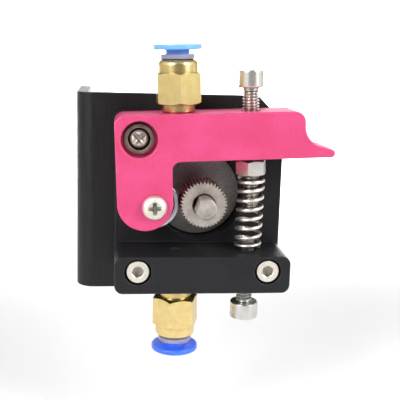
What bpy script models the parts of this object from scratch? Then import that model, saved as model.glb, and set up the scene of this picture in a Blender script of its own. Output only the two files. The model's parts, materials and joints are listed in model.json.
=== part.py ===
"""Extruder gear assembly: a lever-arm filament drive on the face of a NEMA 17 stepper motor.

Lengths are millimetres, and MM turns them into metres where a mesh or a place is set.
Places are written from the motor shaft's axis: X right, Y away from the front, Z up, with Y = 0 at
the base plate's front face. The row's origin is the middle of the bracket flange's outer face.
"""

import math

import bmesh
import bpy
from mathutils import Matrix, Vector

MM = 0.001
ROUND = 32  # sides of a large round hole or rim
TURNED = 20  # sides of a turned piece
SMALL = 12  # sides of a small or hidden hole
OVERRUN = 0.5  # how far a cutter stands out of the face it starts at
PAST = 1.0  # how far a cutter runs past the far face
SEAT_GAP = 0.1  # between two seated pieces
THREAD_GAP = 0.15  # between a plain thread and its plain hole

# NEMA 17 face, which everything is bolted to
SCREW_PITCH = 15.5  # the four M3 holes stand at plus and minus this in X and Z
M3_SHANK = 1.5
M3_HOLE = 1.65
M3_HEAD_RADIUS = 2.7
M3_HEAD_HEIGHT = 3.0
M3_KEY = 2.5
M4_SHANK = 2.0
M4_HEAD_RADIUS = 3.1
M4_HEAD_HEIGHT = 4.0
M4_KEY = 3.0
KEY_DEPTH = 0.55  # share of a socket head's height
HEAD_EDGE = 0.35
TIP_CHAMFER = 0.5

# Pan head with a cross recess, as shares of the head's radius and height
PAN_PROFILE = ((0.0, 1.0), (0.55, 0.94), (0.86, 0.7), (1.0, 0.3), (1.0, 0.0))
CROSS_LENGTH = 1.15
CROSS_WIDTH = 0.3
CROSS_DEPTH = 0.55

# Sheet bracket
SHEET = 3.0
FLANGE_FACE_X = -30.6
FLANGE_END_Y = 32.0
WEB_FRONT_Y = 4.0
WEB_BACK_Y = WEB_FRONT_Y + SHEET
BRACKET_HALF_HEIGHT = 25.0
BEND_RADIUS = 4.5
CORNER_CUT = 6.0
SLOT_Z = 15.0
SLOT_HALF_WIDTH = 2.25
SLOT_LENGTH = 12.0
FLANGE_MIDDLE_Y = 20.0
BRACKET_WINDOW = 11.25

# Base block: a plate with a lip along its bottom
HALF_WIDTH = 21.0
PLATE_THICK = 3.9
LIP_TOP_Z = -11.8
LIP_BOTTOM_Z = -20.9
LIP_FRONT_Y = -14.5
BLOCK_CORNER = 2.0
WINDOW_RADIUS = 11.0
COUNTERBORE_RADIUS = 3.15
COUNTERBORE_FLOOR_Y = -11.1
BASE_SCREW_LENGTH = 22.0
BASE_SCREW_TURNS = {"left": math.radians(12), "right": math.radians(25)}
PLATE_RECESS_RADIUS = 3.2
PLATE_RECESS_DEPTH = 2.0
PLATE_SCREW_HEAD = 1.5
PLATE_SCREW_LENGTH = 8.0

# Filament path and spring axis
FILAMENT_X = -5.9
PATH_Y = -7.0
SPRING_X = 11.3
FILAMENT_HOLE = 1.2

# Lever
PIVOT_X = -SCREW_PITCH
PIVOT_Z = SCREW_PITCH
LEVER_TILT = math.radians(2.5)  # with no filament loaded, the thumb end stands this much up
LEVER_FRONT_Y = -12.9
LEVER_BACK_Y = -0.9
LEVER_TOP_Z = 21.1
ARM_BOTTOM_Z = 10.05
LEG_X = -14.58
LEG_Z = 0.5
LEG_RADIUS = 6.53
THUMB_END_X = 30.55
THUMB_TIP_RADIUS = 0.97
THUMB_SLOPE = math.radians(16)
THUMB_SWEEP_RADIUS = 5.0
SHOULDER_X = 23.4
OUTER_CORNER = 2.5
INNER_CORNER = 2.0

# Pivot
BUSH_RADIUS = 3.6
BUSH_FRONT_Y = -11.2
BUSH_RUNNING_GAP = 0.1
BUSH_RECESS_RADIUS = 2.6
BUSH_RECESS_DEPTH = 2.6
PIVOT_COUNTERBORE_RADIUS = 4.25
PIVOT_COUNTERBORE_DEPTH = 3.2
PIVOT_HEAD_RADIUS = 2.45
PIVOT_HEAD_HEIGHT = 2.2
PIVOT_SCREW_LENGTH = 19.9
PIVOT_SCREW_TURN = math.radians(45)
PIVOT_WASHER_RADIUS = 5.5

# 604 idler bearing, 4 x 12 x 4, on a sleeve and an M3 screw
IDLER_X = -12.5
IDLER_Z = -0.3
IDLER_HEAD_RADIUS = 2.95
IDLER_HEAD_HEIGHT = 2.1
IDLER_SCREW_LENGTH = 11.7
RACE_RADIUS = 6.0
RACE_INSIDE = 4.9
RACE_EDGE = 0.25
RACE_FRONT_Y = -9.0
RACE_BACK_Y = -5.0
RACE_POCKET_GAP = 0.5
RACE_SIDE_GAP = 0.3
INNER_RACE_RADIUS = 3.05
SHIELD_RADIUS = 4.82
SHIELD_INSIDE = 3.2
SHIELD_THICK = 0.25
SHIELD_INSET = 0.15
SLEEVE_RADIUS = 1.95
SLEEVE_PROUD = 0.2
BALLS = 7
BALL_RADIUS = 0.7
BALL_CIRCLE = 3.95
CAGE_HALF_WIDTH = 0.25
CAGE_HALF_THICK = 0.35

# Drive gear and shaft
TEETH = 40
GEAR_RADIUS = 5.6
GEAR_ROOT = 5.15
GEAR_FRONT_Y = -11.2
TOOTHED_LENGTH = 7.4
HUB_RADIUS = 4.5
GEAR_LENGTH = 11.0
HOB_DEPTH = 0.75
HOB_HALF_WIDTH = 2.0
GRUB_Y = -2.0
GRUB_KEY = 1.5
GRUB_KEY_DEPTH = 1.2
SHAFT_RADIUS = 2.5
SHAFT_GAP = 0.06  # in the bore of each piece that the shaft holds
SHAFT_CHAMFER = 0.4
SHAFT_END_Y = -16.5
SHAFT_BACK_Y = 42.4
FLAT_LENGTH = 16.5
FLAT_DEPTH = 0.5
FLAT_ANGLE = math.radians(160.0)

# Spring and its screws
SPRING_RADIUS = 2.9  # to the middle of the wire
WIRE_RADIUS = 0.45
SPRING_BOTTOM_Z = -11.65
SPRING_TOP_Z = 6.55
SPRING_TURNS = 8.5
SPRING_FOOT_X = 11.6
SPRING_HEAD_X = 11.9
SPRING_CLOSED_TURNS = 1.0  # at each end
SPRING_POINTS = 10  # along each turn
TENSION_HEAD_Z = 26.6
TENSION_LENGTH = 30.0
NUT_TOP_Z = 9.25
NUT_HEIGHT = 3.6
NUT_ACROSS_FLATS = 6.7
NUT_TURN = math.radians(11)
GUIDE_HEAD_Z = -25.2
GUIDE_HEAD_RADIUS = 3.5
GUIDE_LENGTH = 16.0

# Push-fit tube fitting, heights from its seat outwards
THREAD_RADIUS = 2.9
THREAD_LENGTH = 5.6
COLLAR_RADIUS = 3.9
COLLAR_HEIGHT = 1.85
HEX_ACROSS_FLATS = 10.0
HEX_HEIGHT = 7.3
CAP_RADIUS = 4.8
CAP_HEIGHT = 3.0
RING_RADIUS = 4.05
RING_HEIGHT = 1.15
NECK_RADIUS = 2.8
NECK_HEIGHT = 1.05
COLLET_RADIUS = 5.75
COLLET_HEIGHT = 1.25
TUBE_RADIUS = 2.05
FITTING_HOLE = 1.1
TUBE_STOP = 1.0
POCKET_RADIUS = 3.45
POCKET_FLOOR = 6.0
CAP_SHOULDER = 0.8
SLEEVE_FOOT = 10.2
SLIDE_GAP = 0.1
COLLET_FOOT = 9.0
COLLET_EDGE = 0.3
GRIP_RADIUS = 3.3
GRIP_LOW = 7.6
GRIP_HIGH = 7.9
O_RING_RADIUS = 2.72
O_RING_WIRE = 0.55
O_RING_HEIGHT = 6.7
UPPER_HEX_TURN = math.radians(31)
LOWER_HEX_TURN = math.radians(48)
LOWER_STAND_OFF = 0.7  # thread left showing above the lower fitting

# Motor
MOTOR_HALF = 21.15
MOTOR_FACE_Y = WEB_BACK_Y + 0.05
FRONT_CAP_BACK_Y = 15.5
STATOR_BACK_Y = 36.4
REAR_CAP_FRONT_Y = 36.5
MOTOR_BACK_Y = 45.0
CAP_CUT = 4.0
STATOR_CUT = 5.5
ROTOR_SLICES = (  # name, radius, front Y, back Y, material
    ("rotor_front", 11.0, 16.5, 25.0, "lamination"),
    ("rotor_magnet", 10.6, 25.1, 26.9, "dark_steel"),
    ("rotor_rear", 11.0, 27.0, 35.5, "lamination"),
)
BOSS_RADIUS = 11.0
BOSS_HEIGHT = 2.0
SHAFT_OPENING = 3.3
BOLT_DEPTH = 10.0
BEARING_RADIUS = 8.0
BEARING_WIDTH = 5.0
BEARING_STEP = 6.4
BEARING_INNER = 4.0
BEARING_SEAT = 8.05
FRONT_BEARING_Y = 15.2
REAR_BEARING_Y = 42.3
COIL_ROOM_OUTER = 17.6
COIL_ROOM_INNER = 11.6
FRONT_COIL_ROOM_Y = 12.8
REAR_COIL_ROOM_Y = 39.2
WAVE_RADIUS = 7.7
WAVE_INSIDE = 5.6
WAVE_THICK = 0.5
WAVE_Y = 43.1
POLES = 8
POLE_HALF_WIDTH = 2.5
SHOE_HALF_WIDTH = 3.9
SHOE_INNER = 11.6
SHOE_OUTER = 12.6
POLE_ROOT = 17.0
COIL_MIDDLE = 14.5
COIL_DEPTH = 2.8
COIL_WIDTH = 9.4
COIL_WINDOW = 5.3
COIL_OVERHANG = 2.3
MOTOR_SCREW_LENGTH = 30.0
MOTOR_HEAD_PROFILE = ((0, 1.9), (2.1, 1.8), (2.7, 1.2), (2.7, 0))
MOTOR_HEAD_POCKET = 3.0
MOTOR_HEAD_SEAT = 2.1
MOTOR_CROSS = (3.2, 1.8, 0.8)
CONNECTOR_SIZE = (16.0, 6.0, 6.6)
CONNECTOR_ROOM = (16.6, 10.0, 7.0)
CONNECTOR_SOCKET = (14.2, 4.4, 6.6)
CONNECTOR_FLOOR = 1.2
CONNECTOR_Y = 40.7
CONNECTOR_ROOM_Y = 42.4

FACING = {
    "up": Matrix.Identity(4),
    "down": Matrix.Rotation(math.pi, 4, "X"),
    "front": Matrix.Rotation(math.pi / 2, 4, "X"),
    "back": Matrix.Rotation(-math.pi / 2, 4, "X"),
}


# --- scene, materials and parents -------------------------------------------------------------


def clear_scene():
    for obj in list(bpy.data.objects):
        bpy.data.objects.remove(obj, do_unlink=True)


def new_collection(name, shown):
    collection = bpy.data.collections.new(name)
    collection.hide_render = not shown
    bpy.context.scene.collection.children.link(collection)
    return collection


def make_material(name, color, roughness, metallic):
    material = bpy.data.materials.new(name)
    material.use_nodes = True
    shader = material.node_tree.nodes["Principled BSDF"]
    shader.inputs["Base Color"].default_value = (*color, 1.0)
    shader.inputs["Roughness"].default_value = roughness
    shader.inputs["Metallic"].default_value = metallic
    material.diffuse_color = (*color, 1.0)
    return material


def make_frame(name, x, y, z, parent=None, tilt=0.0):
    """An empty that pieces are placed from. Its home is its place from the shaft axis."""
    empty = bpy.data.objects.new(name, None)
    empty["home"] = (x, y, z)
    PARTS.objects.link(empty)
    if parent is None:
        empty.location = (-FLANGE_FACE_X * MM, -FLANGE_MIDDLE_Y * MM, 0.0)
    else:
        empty.parent = parent
        empty.location = (Vector((x, y, z)) - Vector(parent["home"])) * MM
    empty.rotation_euler = (0.0, tilt, 0.0)
    return empty


def put(obj, parent, place, facing="up", turn=0.0):
    """Sets an object at a place from the shaft axis. turn is about the object's own axis."""
    obj.parent = parent
    offset = (Vector(place) - Vector(parent["home"])) * MM
    obj.matrix_basis = Matrix.Translation(offset) @ FACING[facing] @ Matrix.Rotation(turn, 4, "Z")
    return obj


def add_piece(name, mesh, material, parent, place, facing="up", turn=0.0):
    obj = bpy.data.objects.new(name, mesh)
    mesh.materials.clear()
    mesh.materials.append(MATERIALS[material])
    PARTS.objects.link(obj)
    return put(obj, parent, place, facing, turn)


# --- meshes, all made along their own Z axis --------------------------------------------------


def finish_mesh(name, bm):
    bmesh.ops.scale(bm, vec=(MM, MM, MM), verts=bm.verts)
    mesh = bpy.data.meshes.new(name)
    bm.to_mesh(mesh)
    bm.free()
    mesh.shade_smooth()
    mesh.set_sharp_from_angle(angle=math.radians(35))
    return mesh


def prism(name, radius, low, high, sides=ROUND):
    bm = bmesh.new()
    middle = Matrix.Translation((0, 0, (low + high) / 2))
    bmesh.ops.create_cone(
        bm, cap_ends=True, segments=sides, radius1=radius, radius2=radius, depth=high - low, matrix=middle
    )
    return finish_mesh(name, bm)


def block(name, size, middle=(0, 0, 0)):
    bm = bmesh.new()
    matrix = Matrix.Translation(middle) @ Matrix.Diagonal((*size, 1.0))
    bmesh.ops.create_cube(bm, size=1.0, matrix=matrix)
    return finish_mesh(name, bm)


def profile_mesh(name, profile, closed):
    bm = bmesh.new()
    corners = [bm.verts.new((radius, 0.0, height)) for radius, height in profile]
    for first, second in zip(corners, corners[1:]):
        bm.edges.new((first, second))
    if closed:
        bm.edges.new((corners[-1], corners[0]))
    return finish_mesh(name, bm)


def spin(obj, steps=TURNED):
    screw = obj.modifiers.new("Turn", "SCREW")
    screw.axis = "Z"
    screw.angle = 2 * math.pi
    screw.steps = steps
    screw.render_steps = steps
    screw.use_merge_vertices = True
    screw.merge_threshold = 1e-6
    screw.use_smooth_shade = True
    return obj


def turned(name, profile, material, parent, place, facing="up", turn=0.0, steps=TURNED):
    """A solid of revolution. Its profile runs down the outer side, from and to the axis."""
    mesh = profile_mesh(name, profile, closed=False)
    return spin(add_piece(name, mesh, material, parent, place, facing, turn), steps)


def turned_ring(name, profile, material, parent, place, facing="up", steps=TURNED):
    """A ring of revolution. Its profile runs down the outer side and up the inner one."""
    mesh = profile_mesh(name, profile, closed=True)
    return spin(add_piece(name, mesh, material, parent, place, facing), steps)


def washer_profile(outer, inner, low, high):
    return [(outer, high), (outer, low), (inner, low), (inner, high)]


def arc(x, y, radius, start, end, steps=8):
    angles = [math.radians(start + (end - start) * i / steps) for i in range(steps + 1)]
    return [(x + radius * math.cos(a), y + radius * math.sin(a)) for a in angles]


def circle_angles(count):
    return [2 * math.pi * i / count for i in range(count)]


def rounded_rectangle(left, bottom, right, top, radius):
    corners = (
        (right - radius, top - radius, 0),
        (left + radius, top - radius, 90),
        (left + radius, bottom + radius, 180),
        (right - radius, bottom + radius, 270),
    )
    return [point for x, y, start in corners for point in arc(x, y, radius, start, start + 90, 4)]


def slab(name, outline, low, high):
    """A flat outline, filled as a 2D curve and extruded from low to high."""
    curve = bpy.data.curves.new(name, "CURVE")
    curve.dimensions = "2D"
    curve.fill_mode = "BOTH"
    curve.extrude = (high - low) / 2
    spline = curve.splines.new("POLY")
    spline.points.add(len(outline) - 1)
    for point, (x, y) in zip(spline.points, outline):
        point.co = (x, y, 0.0, 1.0)
    spline.use_cyclic_u = True
    flat = bpy.data.objects.new(name + "_outline", curve)
    PARTS.objects.link(flat)
    bpy.context.view_layer.update()
    graph = bpy.context.evaluated_depsgraph_get()
    filled = bpy.data.meshes.new_from_object(flat.evaluated_get(graph))
    bm = bmesh.new()
    bm.from_mesh(filled)
    bmesh.ops.remove_doubles(bm, verts=bm.verts, dist=1e-4)
    bmesh.ops.dissolve_limit(bm, angle_limit=1e-3, verts=bm.verts, edges=bm.edges)
    bmesh.ops.recalc_face_normals(bm, faces=bm.faces)
    bmesh.ops.translate(bm, verts=bm.verts, vec=(0, 0, (low + high) / 2))
    bpy.data.objects.remove(flat, do_unlink=True)
    bpy.data.curves.remove(curve)
    bpy.data.meshes.remove(filled)
    return finish_mesh(name, bm)


# --- modifiers --------------------------------------------------------------------------------


def join_shape(obj, operation, helper):
    """Cuts a helper from an object, or joins it on. The helper stays hidden."""
    helper.hide_render = True
    helper.display_type = "WIRE"
    modifier = obj.modifiers.new(operation.title(), "BOOLEAN")
    modifier.operation = operation
    modifier.solver = "EXACT"
    modifier.object = helper


def add_helper(obj, mesh, place, facing="up", turn=0.0):
    helper = bpy.data.objects.new(f"{obj.name}_cutter", mesh)
    CUTTERS.objects.link(helper)
    return put(helper, obj.parent, place, facing, turn)


def bore(obj, radius, start, length, facing, sides=TURNED, turn=0.0):
    """A round or, with few sides, a polygonal hole: from start, length long, inwards."""
    helper = add_helper(obj, prism(obj.name + "_bore", radius, -length, OVERRUN, sides), start, facing, turn)
    join_shape(obj, "DIFFERENCE", helper)


def bore_fitting_hole(obj, face_z, facing):
    """The threaded hole of a tube fitting, from a face across the filament path."""
    start = (FILAMENT_X, PATH_Y, face_z)
    bore(obj, THREAD_RADIUS + THREAD_GAP, start, THREAD_LENGTH + 2 * THREAD_GAP, facing)


def cut_block(obj, size, middle, turn_about_y=0.0):
    helper = add_helper(obj, block(obj.name + "_notch", size), middle)
    helper.matrix_basis = helper.matrix_basis @ Matrix.Rotation(turn_about_y, 4, "Y")
    join_shape(obj, "DIFFERENCE", helper)


# --- fasteners --------------------------------------------------------------------------------


def hex_radius(across_flats):
    return across_flats / math.sqrt(3)


def socket_screw(name, size, parent, seat, facing, turn=0.0):
    """A socket head cap screw. seat is where its head's underside rests."""
    head, height, shank, length, key = size
    profile = [
        (0, height),
        (head - HEAD_EDGE, height),
        (head, height - HEAD_EDGE),
        (head, 0),
        (shank, 0),
        (shank, -length + TIP_CHAMFER),
        (shank - TIP_CHAMFER, -length),
        (0, -length),
    ]
    obj = turned(name, profile, "nickel", parent, seat, facing, turn)
    top = Vector(seat) + FACING[facing] @ Vector((0, 0, height))
    bore(obj, hex_radius(key), top, height * KEY_DEPTH, facing, sides=6, turn=turn)
    return obj


def cross_screw(name, size, parent, seat, turn=0.0):
    """A pan head screw with a cross recess, facing the front."""
    head, height, shank, length = size
    profile = [(head * out, height * up) for out, up in PAN_PROFILE]
    profile += [
        (shank, 0),
        (shank, -length + TIP_CHAMFER),
        (shank - TIP_CHAMFER, -length),
        (0, -length),
    ]
    obj = turned(name, profile, "nickel", parent, seat, "front", turn)
    middle = (seat[0], seat[1] - height, seat[2])
    long_side = head * CROSS_LENGTH
    short_side = head * CROSS_WIDTH
    depth = 2 * height * CROSS_DEPTH
    cut_block(obj, (long_side, depth, short_side), middle, turn)
    cut_block(obj, (short_side, depth, long_side), middle, turn)
    return obj


# --- fixed frame ------------------------------------------------------------------------------


def make_bracket():
    left = FLANGE_FACE_X
    inner_radius = BEND_RADIUS - SHEET
    bend_x = left + BEND_RADIUS
    bend_y = WEB_FRONT_Y + BEND_RADIUS
    outline = [(HALF_WIDTH, WEB_BACK_Y), (HALF_WIDTH, WEB_FRONT_Y)]
    outline += arc(bend_x, bend_y, BEND_RADIUS, 270, 180)
    outline += [(left, FLANGE_END_Y), (left + SHEET, FLANGE_END_Y)]
    outline += arc(bend_x, bend_y, inner_radius, 180, 270)
    height = BRACKET_HALF_HEIGHT
    mesh = slab("motor_bracket", outline, -height, height)
    obj = add_piece("motor_bracket", mesh, "bracket_black", ASSEMBLY, (0, 0, 0))
    bore(obj, BRACKET_WINDOW, (0, WEB_FRONT_Y, 0), SHEET + PAST, "front", sides=ROUND)
    bore_bolt_holes(obj, M3_HOLE, WEB_FRONT_Y, SHEET + PAST)
    cut_side = CORNER_CUT * math.sqrt(2)
    for z in (-height, height):
        cut_block(obj, (cut_side, 3 * SHEET, cut_side), (HALF_WIDTH, WEB_BACK_Y, z), math.radians(45))
    reach = SLOT_LENGTH / 2 - SLOT_HALF_WIDTH
    for z in (-SLOT_Z, SLOT_Z):
        loop = arc(FLANGE_MIDDLE_Y + reach, z, SLOT_HALF_WIDTH, -90, 90)
        loop += arc(FLANGE_MIDDLE_Y - reach, z, SLOT_HALF_WIDTH, 90, 270)
        mesh = slab("flange_slot", loop, -SHEET, SHEET)
        helper = add_helper(obj, mesh, (left + SHEET / 2, 0, 0))
        across = Matrix(((0, 0, 1, 0), (1, 0, 0, 0), (0, 1, 0, 0), (0, 0, 0, 1)))
        helper.matrix_basis = helper.matrix_basis @ across
        join_shape(obj, "DIFFERENCE", helper)


def make_base_block():
    plate = rounded_rectangle(-HALF_WIDTH, LIP_BOTTOM_Z, HALF_WIDTH, HALF_WIDTH, BLOCK_CORNER)
    mesh = slab("base_block", plate, -PLATE_THICK, 0)
    obj = add_piece("base_block", mesh, "block_black", ASSEMBLY, (0, 0, 0), "front")
    lip = rounded_rectangle(-HALF_WIDTH, LIP_BOTTOM_Z, HALF_WIDTH, LIP_TOP_Z, BLOCK_CORNER)
    helper = add_helper(obj, slab("lip", lip, -PLATE_THICK / 2, -LIP_FRONT_Y), (0, 0, 0), "front")
    join_shape(obj, "UNION", helper)
    bore(obj, WINDOW_RADIUS, (0, 0, 0), PLATE_THICK + PAST, "front", sides=ROUND)
    depth = COUNTERBORE_FLOOR_Y - LIP_FRONT_Y
    through = PLATE_THICK - LIP_FRONT_Y + PAST
    for x in (-SCREW_PITCH, SCREW_PITCH):
        bore(obj, M3_HOLE, (x, 0, SCREW_PITCH), PLATE_THICK + PAST, "front")
        bore(obj, COUNTERBORE_RADIUS, (x, LIP_FRONT_Y, -SCREW_PITCH), depth, "front")
        bore(obj, M3_HOLE, (x, LIP_FRONT_Y, -SCREW_PITCH), through, "front")
    bore(obj, PLATE_RECESS_RADIUS, (SCREW_PITCH, 0, SCREW_PITCH), PLATE_RECESS_DEPTH, "front")
    height = LIP_TOP_Z - LIP_BOTTOM_Z
    bore_fitting_hole(obj, LIP_BOTTOM_Z, "down")
    bore(obj, FILAMENT_HOLE, (FILAMENT_X, PATH_Y, LIP_TOP_Z), height, "up")
    bore(obj, M4_SHANK + THREAD_GAP, (SPRING_X, PATH_Y, LIP_TOP_Z), height + PAST, "up")


def make_frame_screws():
    for side, x in (("left", -SCREW_PITCH), ("right", SCREW_PITCH)):
        seat = (x, COUNTERBORE_FLOOR_Y - SEAT_GAP, -SCREW_PITCH)
        size = (M3_HEAD_RADIUS, M3_HEAD_HEIGHT, M3_SHANK, BASE_SCREW_LENGTH, M3_KEY)
        socket_screw(f"base_screw_{side}", size, ASSEMBLY, seat, "front", BASE_SCREW_TURNS[side])
    seat = (SCREW_PITCH, PLATE_RECESS_DEPTH - SEAT_GAP, SCREW_PITCH)
    size = (M3_HEAD_RADIUS, PLATE_SCREW_HEAD, M3_SHANK, PLATE_SCREW_LENGTH)
    cross_screw("plate_screw", size, ASSEMBLY, seat)


def make_guide_screw():
    size = (GUIDE_HEAD_RADIUS, M4_HEAD_HEIGHT, M4_SHANK, GUIDE_LENGTH, M4_KEY)
    socket_screw("guide_screw", size, ASSEMBLY, (SPRING_X, PATH_Y, GUIDE_HEAD_Z), "down")


def make_pivot():
    length = -BUSH_FRONT_Y - SEAT_GAP
    floor = length - BUSH_RECESS_DEPTH
    profile = [
        (BUSH_RADIUS, length),
        (BUSH_RADIUS, 0),
        (M3_HOLE, 0),
        (M3_HOLE, floor),
        (BUSH_RECESS_RADIUS, floor),
        (BUSH_RECESS_RADIUS, length),
    ]
    place = (PIVOT_X, -SEAT_GAP, PIVOT_Z)
    turned_ring("pivot_bush", profile, "bush_bronze", ASSEMBLY, place, "front")
    seat = (PIVOT_X, -SEAT_GAP - floor - SEAT_GAP / 2, PIVOT_Z)
    size = (PIVOT_HEAD_RADIUS, PIVOT_HEAD_HEIGHT, M3_SHANK, PIVOT_SCREW_LENGTH)
    cross_screw("pivot_screw", size, ASSEMBLY, seat, PIVOT_SCREW_TURN)
    inside = BUSH_RADIUS + THREAD_GAP
    ring = washer_profile(PIVOT_WASHER_RADIUS, inside, SEAT_GAP, -LEVER_BACK_Y - SEAT_GAP)
    turned_ring("pivot_washer", ring, "nickel", ASSEMBLY, (PIVOT_X, 0, PIVOT_Z), "front")


# --- lever and what it carries ----------------------------------------------------------------


def lever_outline():
    tip = THUMB_TIP_RADIUS
    sweep = THUMB_SWEEP_RADIUS
    slope_cos, slope_sin = math.cos(THUMB_SLOPE), math.sin(THUMB_SLOPE)
    tip_x = THUMB_END_X - tip
    tip_z = ARM_BOTTOM_Z + tip
    sweep_x = SHOULDER_X + sweep
    sweep_z = tip_z + (tip + sweep - (sweep_x - tip_x) * slope_sin) / slope_cos
    slope = math.degrees(THUMB_SLOPE)
    corner = OUTER_CORNER
    inside = INNER_CORNER
    leg_right = LEG_X + LEG_RADIUS
    leg_left = LEG_X - LEG_RADIUS
    outline = arc(LEG_X, LEG_Z, LEG_RADIUS, 180, 360, 16)
    outline += arc(leg_right + inside, ARM_BOTTOM_Z - inside, inside, 180, 90)
    outline += arc(tip_x, tip_z, tip, -90, 90 - slope, 10)
    outline += arc(sweep_x, sweep_z, sweep, 270 - slope, 180)
    outline += arc(SHOULDER_X - corner, LEVER_TOP_Z - corner, corner, 0, 90)
    outline += arc(leg_left + corner, LEVER_TOP_Z - corner, corner, 90, 180)
    return outline


def make_lever():
    centred = [(x - PIVOT_X, z - PIVOT_Z) for x, z in lever_outline()]
    mesh = slab("lever_arm", centred, -LEVER_BACK_Y, -LEVER_FRONT_Y)
    obj = add_piece("lever_arm", mesh, "lever_pink", LEVER, (PIVOT_X, 0, PIVOT_Z), "front")
    thick = LEVER_BACK_Y - LEVER_FRONT_Y
    pivot = (PIVOT_X, LEVER_FRONT_Y, PIVOT_Z)
    bore(obj, BUSH_RADIUS + BUSH_RUNNING_GAP, pivot, thick + PAST, "front", ROUND)
    bore(obj, M3_HOLE, (IDLER_X, LEVER_FRONT_Y, IDLER_Z), thick + PAST, "front")
    bore(obj, PIVOT_COUNTERBORE_RADIUS, pivot, PIVOT_COUNTERBORE_DEPTH, "front", ROUND)
    pocket_front = RACE_FRONT_Y - RACE_SIDE_GAP
    pocket_depth = RACE_BACK_Y + RACE_SIDE_GAP - pocket_front
    pocket = prism("race_pocket", RACE_RADIUS + RACE_POCKET_GAP, 0, pocket_depth, ROUND)
    helper = add_helper(obj, pocket, (IDLER_X, pocket_front, IDLER_Z), "back")
    join_shape(obj, "DIFFERENCE", helper)
    height = LEVER_TOP_Z - ARM_BOTTOM_Z
    bore_fitting_hole(obj, LEVER_TOP_Z, "up")
    bore(obj, FILAMENT_HOLE, (FILAMENT_X, PATH_Y, LEVER_TOP_Z), height + PAST, "up")
    bore(obj, M4_SHANK + THREAD_GAP, (SPRING_X, PATH_Y, LEVER_TOP_Z), height + PAST, "up")


def make_idler():
    seat = (IDLER_X, LEVER_FRONT_Y - SEAT_GAP / 2, IDLER_Z)
    size = (IDLER_HEAD_RADIUS, IDLER_HEAD_HEIGHT, M3_SHANK, IDLER_SCREW_LENGTH)
    cross_screw("idler_screw", size, LEVER, seat)
    width = RACE_BACK_Y - RACE_FRONT_Y
    middle = (IDLER_X, RACE_BACK_Y, IDLER_Z)
    sleeve = washer_profile(SLEEVE_RADIUS, M3_SHANK + SEAT_GAP, -SLEEVE_PROUD, width + SLEEVE_PROUD)
    turned_ring("idler_sleeve", sleeve, "nickel", LEVER, middle, "front")
    inner = washer_profile(INNER_RACE_RADIUS, SLEEVE_RADIUS + SEAT_GAP, 0, width)
    turned_ring("idler_inner_race", inner, "bearing_steel", LEVER, middle, "front")
    outer = [
        (RACE_RADIUS - RACE_EDGE, width),
        (RACE_RADIUS, width - RACE_EDGE),
        (RACE_RADIUS, RACE_EDGE),
        (RACE_RADIUS - RACE_EDGE, 0),
        (RACE_INSIDE, 0),
        (RACE_INSIDE, width),
    ]
    turned_ring("idler_outer_race", outer, "bearing_steel", LEVER, middle, "front")
    for side, low in (("rear", SHIELD_INSET), ("front", width - SHIELD_INSET - SHIELD_THICK)):
        shield = washer_profile(SHIELD_RADIUS, SHIELD_INSIDE, low, low + SHIELD_THICK)
        turned_ring(f"idler_{side}_shield", shield, "bearing_steel", LEVER, middle, "front")
    centre_y = (RACE_FRONT_Y + RACE_BACK_Y) / 2
    outside = BALL_CIRCLE + CAGE_HALF_WIDTH
    cage = washer_profile(outside, BALL_CIRCLE - CAGE_HALF_WIDTH, -CAGE_HALF_THICK, CAGE_HALF_THICK)
    obj = turned_ring("idler_ball_cage", cage, "bearing_steel", LEVER, (IDLER_X, centre_y, IDLER_Z), "front")
    for angle in circle_angles(BALLS):
        bm = bmesh.new()
        bmesh.ops.create_uvsphere(bm, u_segments=6, v_segments=4, radius=BALL_RADIUS)
        x = IDLER_X + BALL_CIRCLE * math.cos(angle)
        z = IDLER_Z + BALL_CIRCLE * math.sin(angle)
        helper = add_helper(obj, finish_mesh("ball", bm), (x, centre_y, z))
        join_shape(obj, "UNION", helper)


def make_tension_screw():
    size = (M4_HEAD_RADIUS, M4_HEAD_HEIGHT, M4_SHANK, TENSION_LENGTH, M4_KEY)
    socket_screw("tension_screw", size, LEVER, (SPRING_X, PATH_Y, TENSION_HEAD_Z), "up")
    nut = prism("tension_nut", hex_radius(NUT_ACROSS_FLATS), -NUT_HEIGHT, 0, 6)
    place = (SPRING_X, PATH_Y, NUT_TOP_Z)
    obj = add_piece("tension_nut", nut, "nickel", LEVER, place, "up", NUT_TURN)
    bore(obj, M4_SHANK + THREAD_GAP, place, NUT_HEIGHT + PAST, "up")


def make_spring():
    """A compression spring on a smooth helix, with its end coils closed up."""
    height = SPRING_TOP_Z - SPRING_BOTTOM_Z
    count = int(SPRING_TURNS * SPRING_POINTS)
    closed_rise = 2 * WIRE_RADIUS + SEAT_GAP
    free_rise = height - 2 * WIRE_RADIUS - 2 * SPRING_CLOSED_TURNS * closed_rise
    free_turns = SPRING_TURNS - 2 * SPRING_CLOSED_TURNS
    curve = bpy.data.curves.new("tension_spring", "CURVE")
    curve.dimensions = "3D"
    curve.bevel_depth = WIRE_RADIUS * MM
    curve.bevel_resolution = 2
    curve.use_fill_caps = True
    spline = curve.splines.new("POLY")
    spline.points.add(count)
    for i, point in enumerate(spline.points):
        turn = i / SPRING_POINTS
        start = min(turn, SPRING_CLOSED_TURNS)
        middle = min(max(turn - SPRING_CLOSED_TURNS, 0.0), free_turns)
        end = max(turn - SPRING_CLOSED_TURNS - free_turns, 0.0)
        z = WIRE_RADIUS + (start + end) * closed_rise + middle * free_rise / free_turns
        lean = (SPRING_HEAD_X - SPRING_FOOT_X) * z / height
        angle = 2 * math.pi * turn
        x = lean + SPRING_RADIUS * math.cos(angle)
        y = SPRING_RADIUS * math.sin(angle)
        point.co = (x * MM, y * MM, z * MM, 1.0)
    obj = bpy.data.objects.new("tension_spring", curve)
    curve.materials.append(MATERIALS["spring_steel"])
    PARTS.objects.link(obj)
    put(obj, ASSEMBLY, (SPRING_FOOT_X, PATH_Y, SPRING_BOTTOM_Z))


# --- push-fit fittings ------------------------------------------------------------------------


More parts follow.
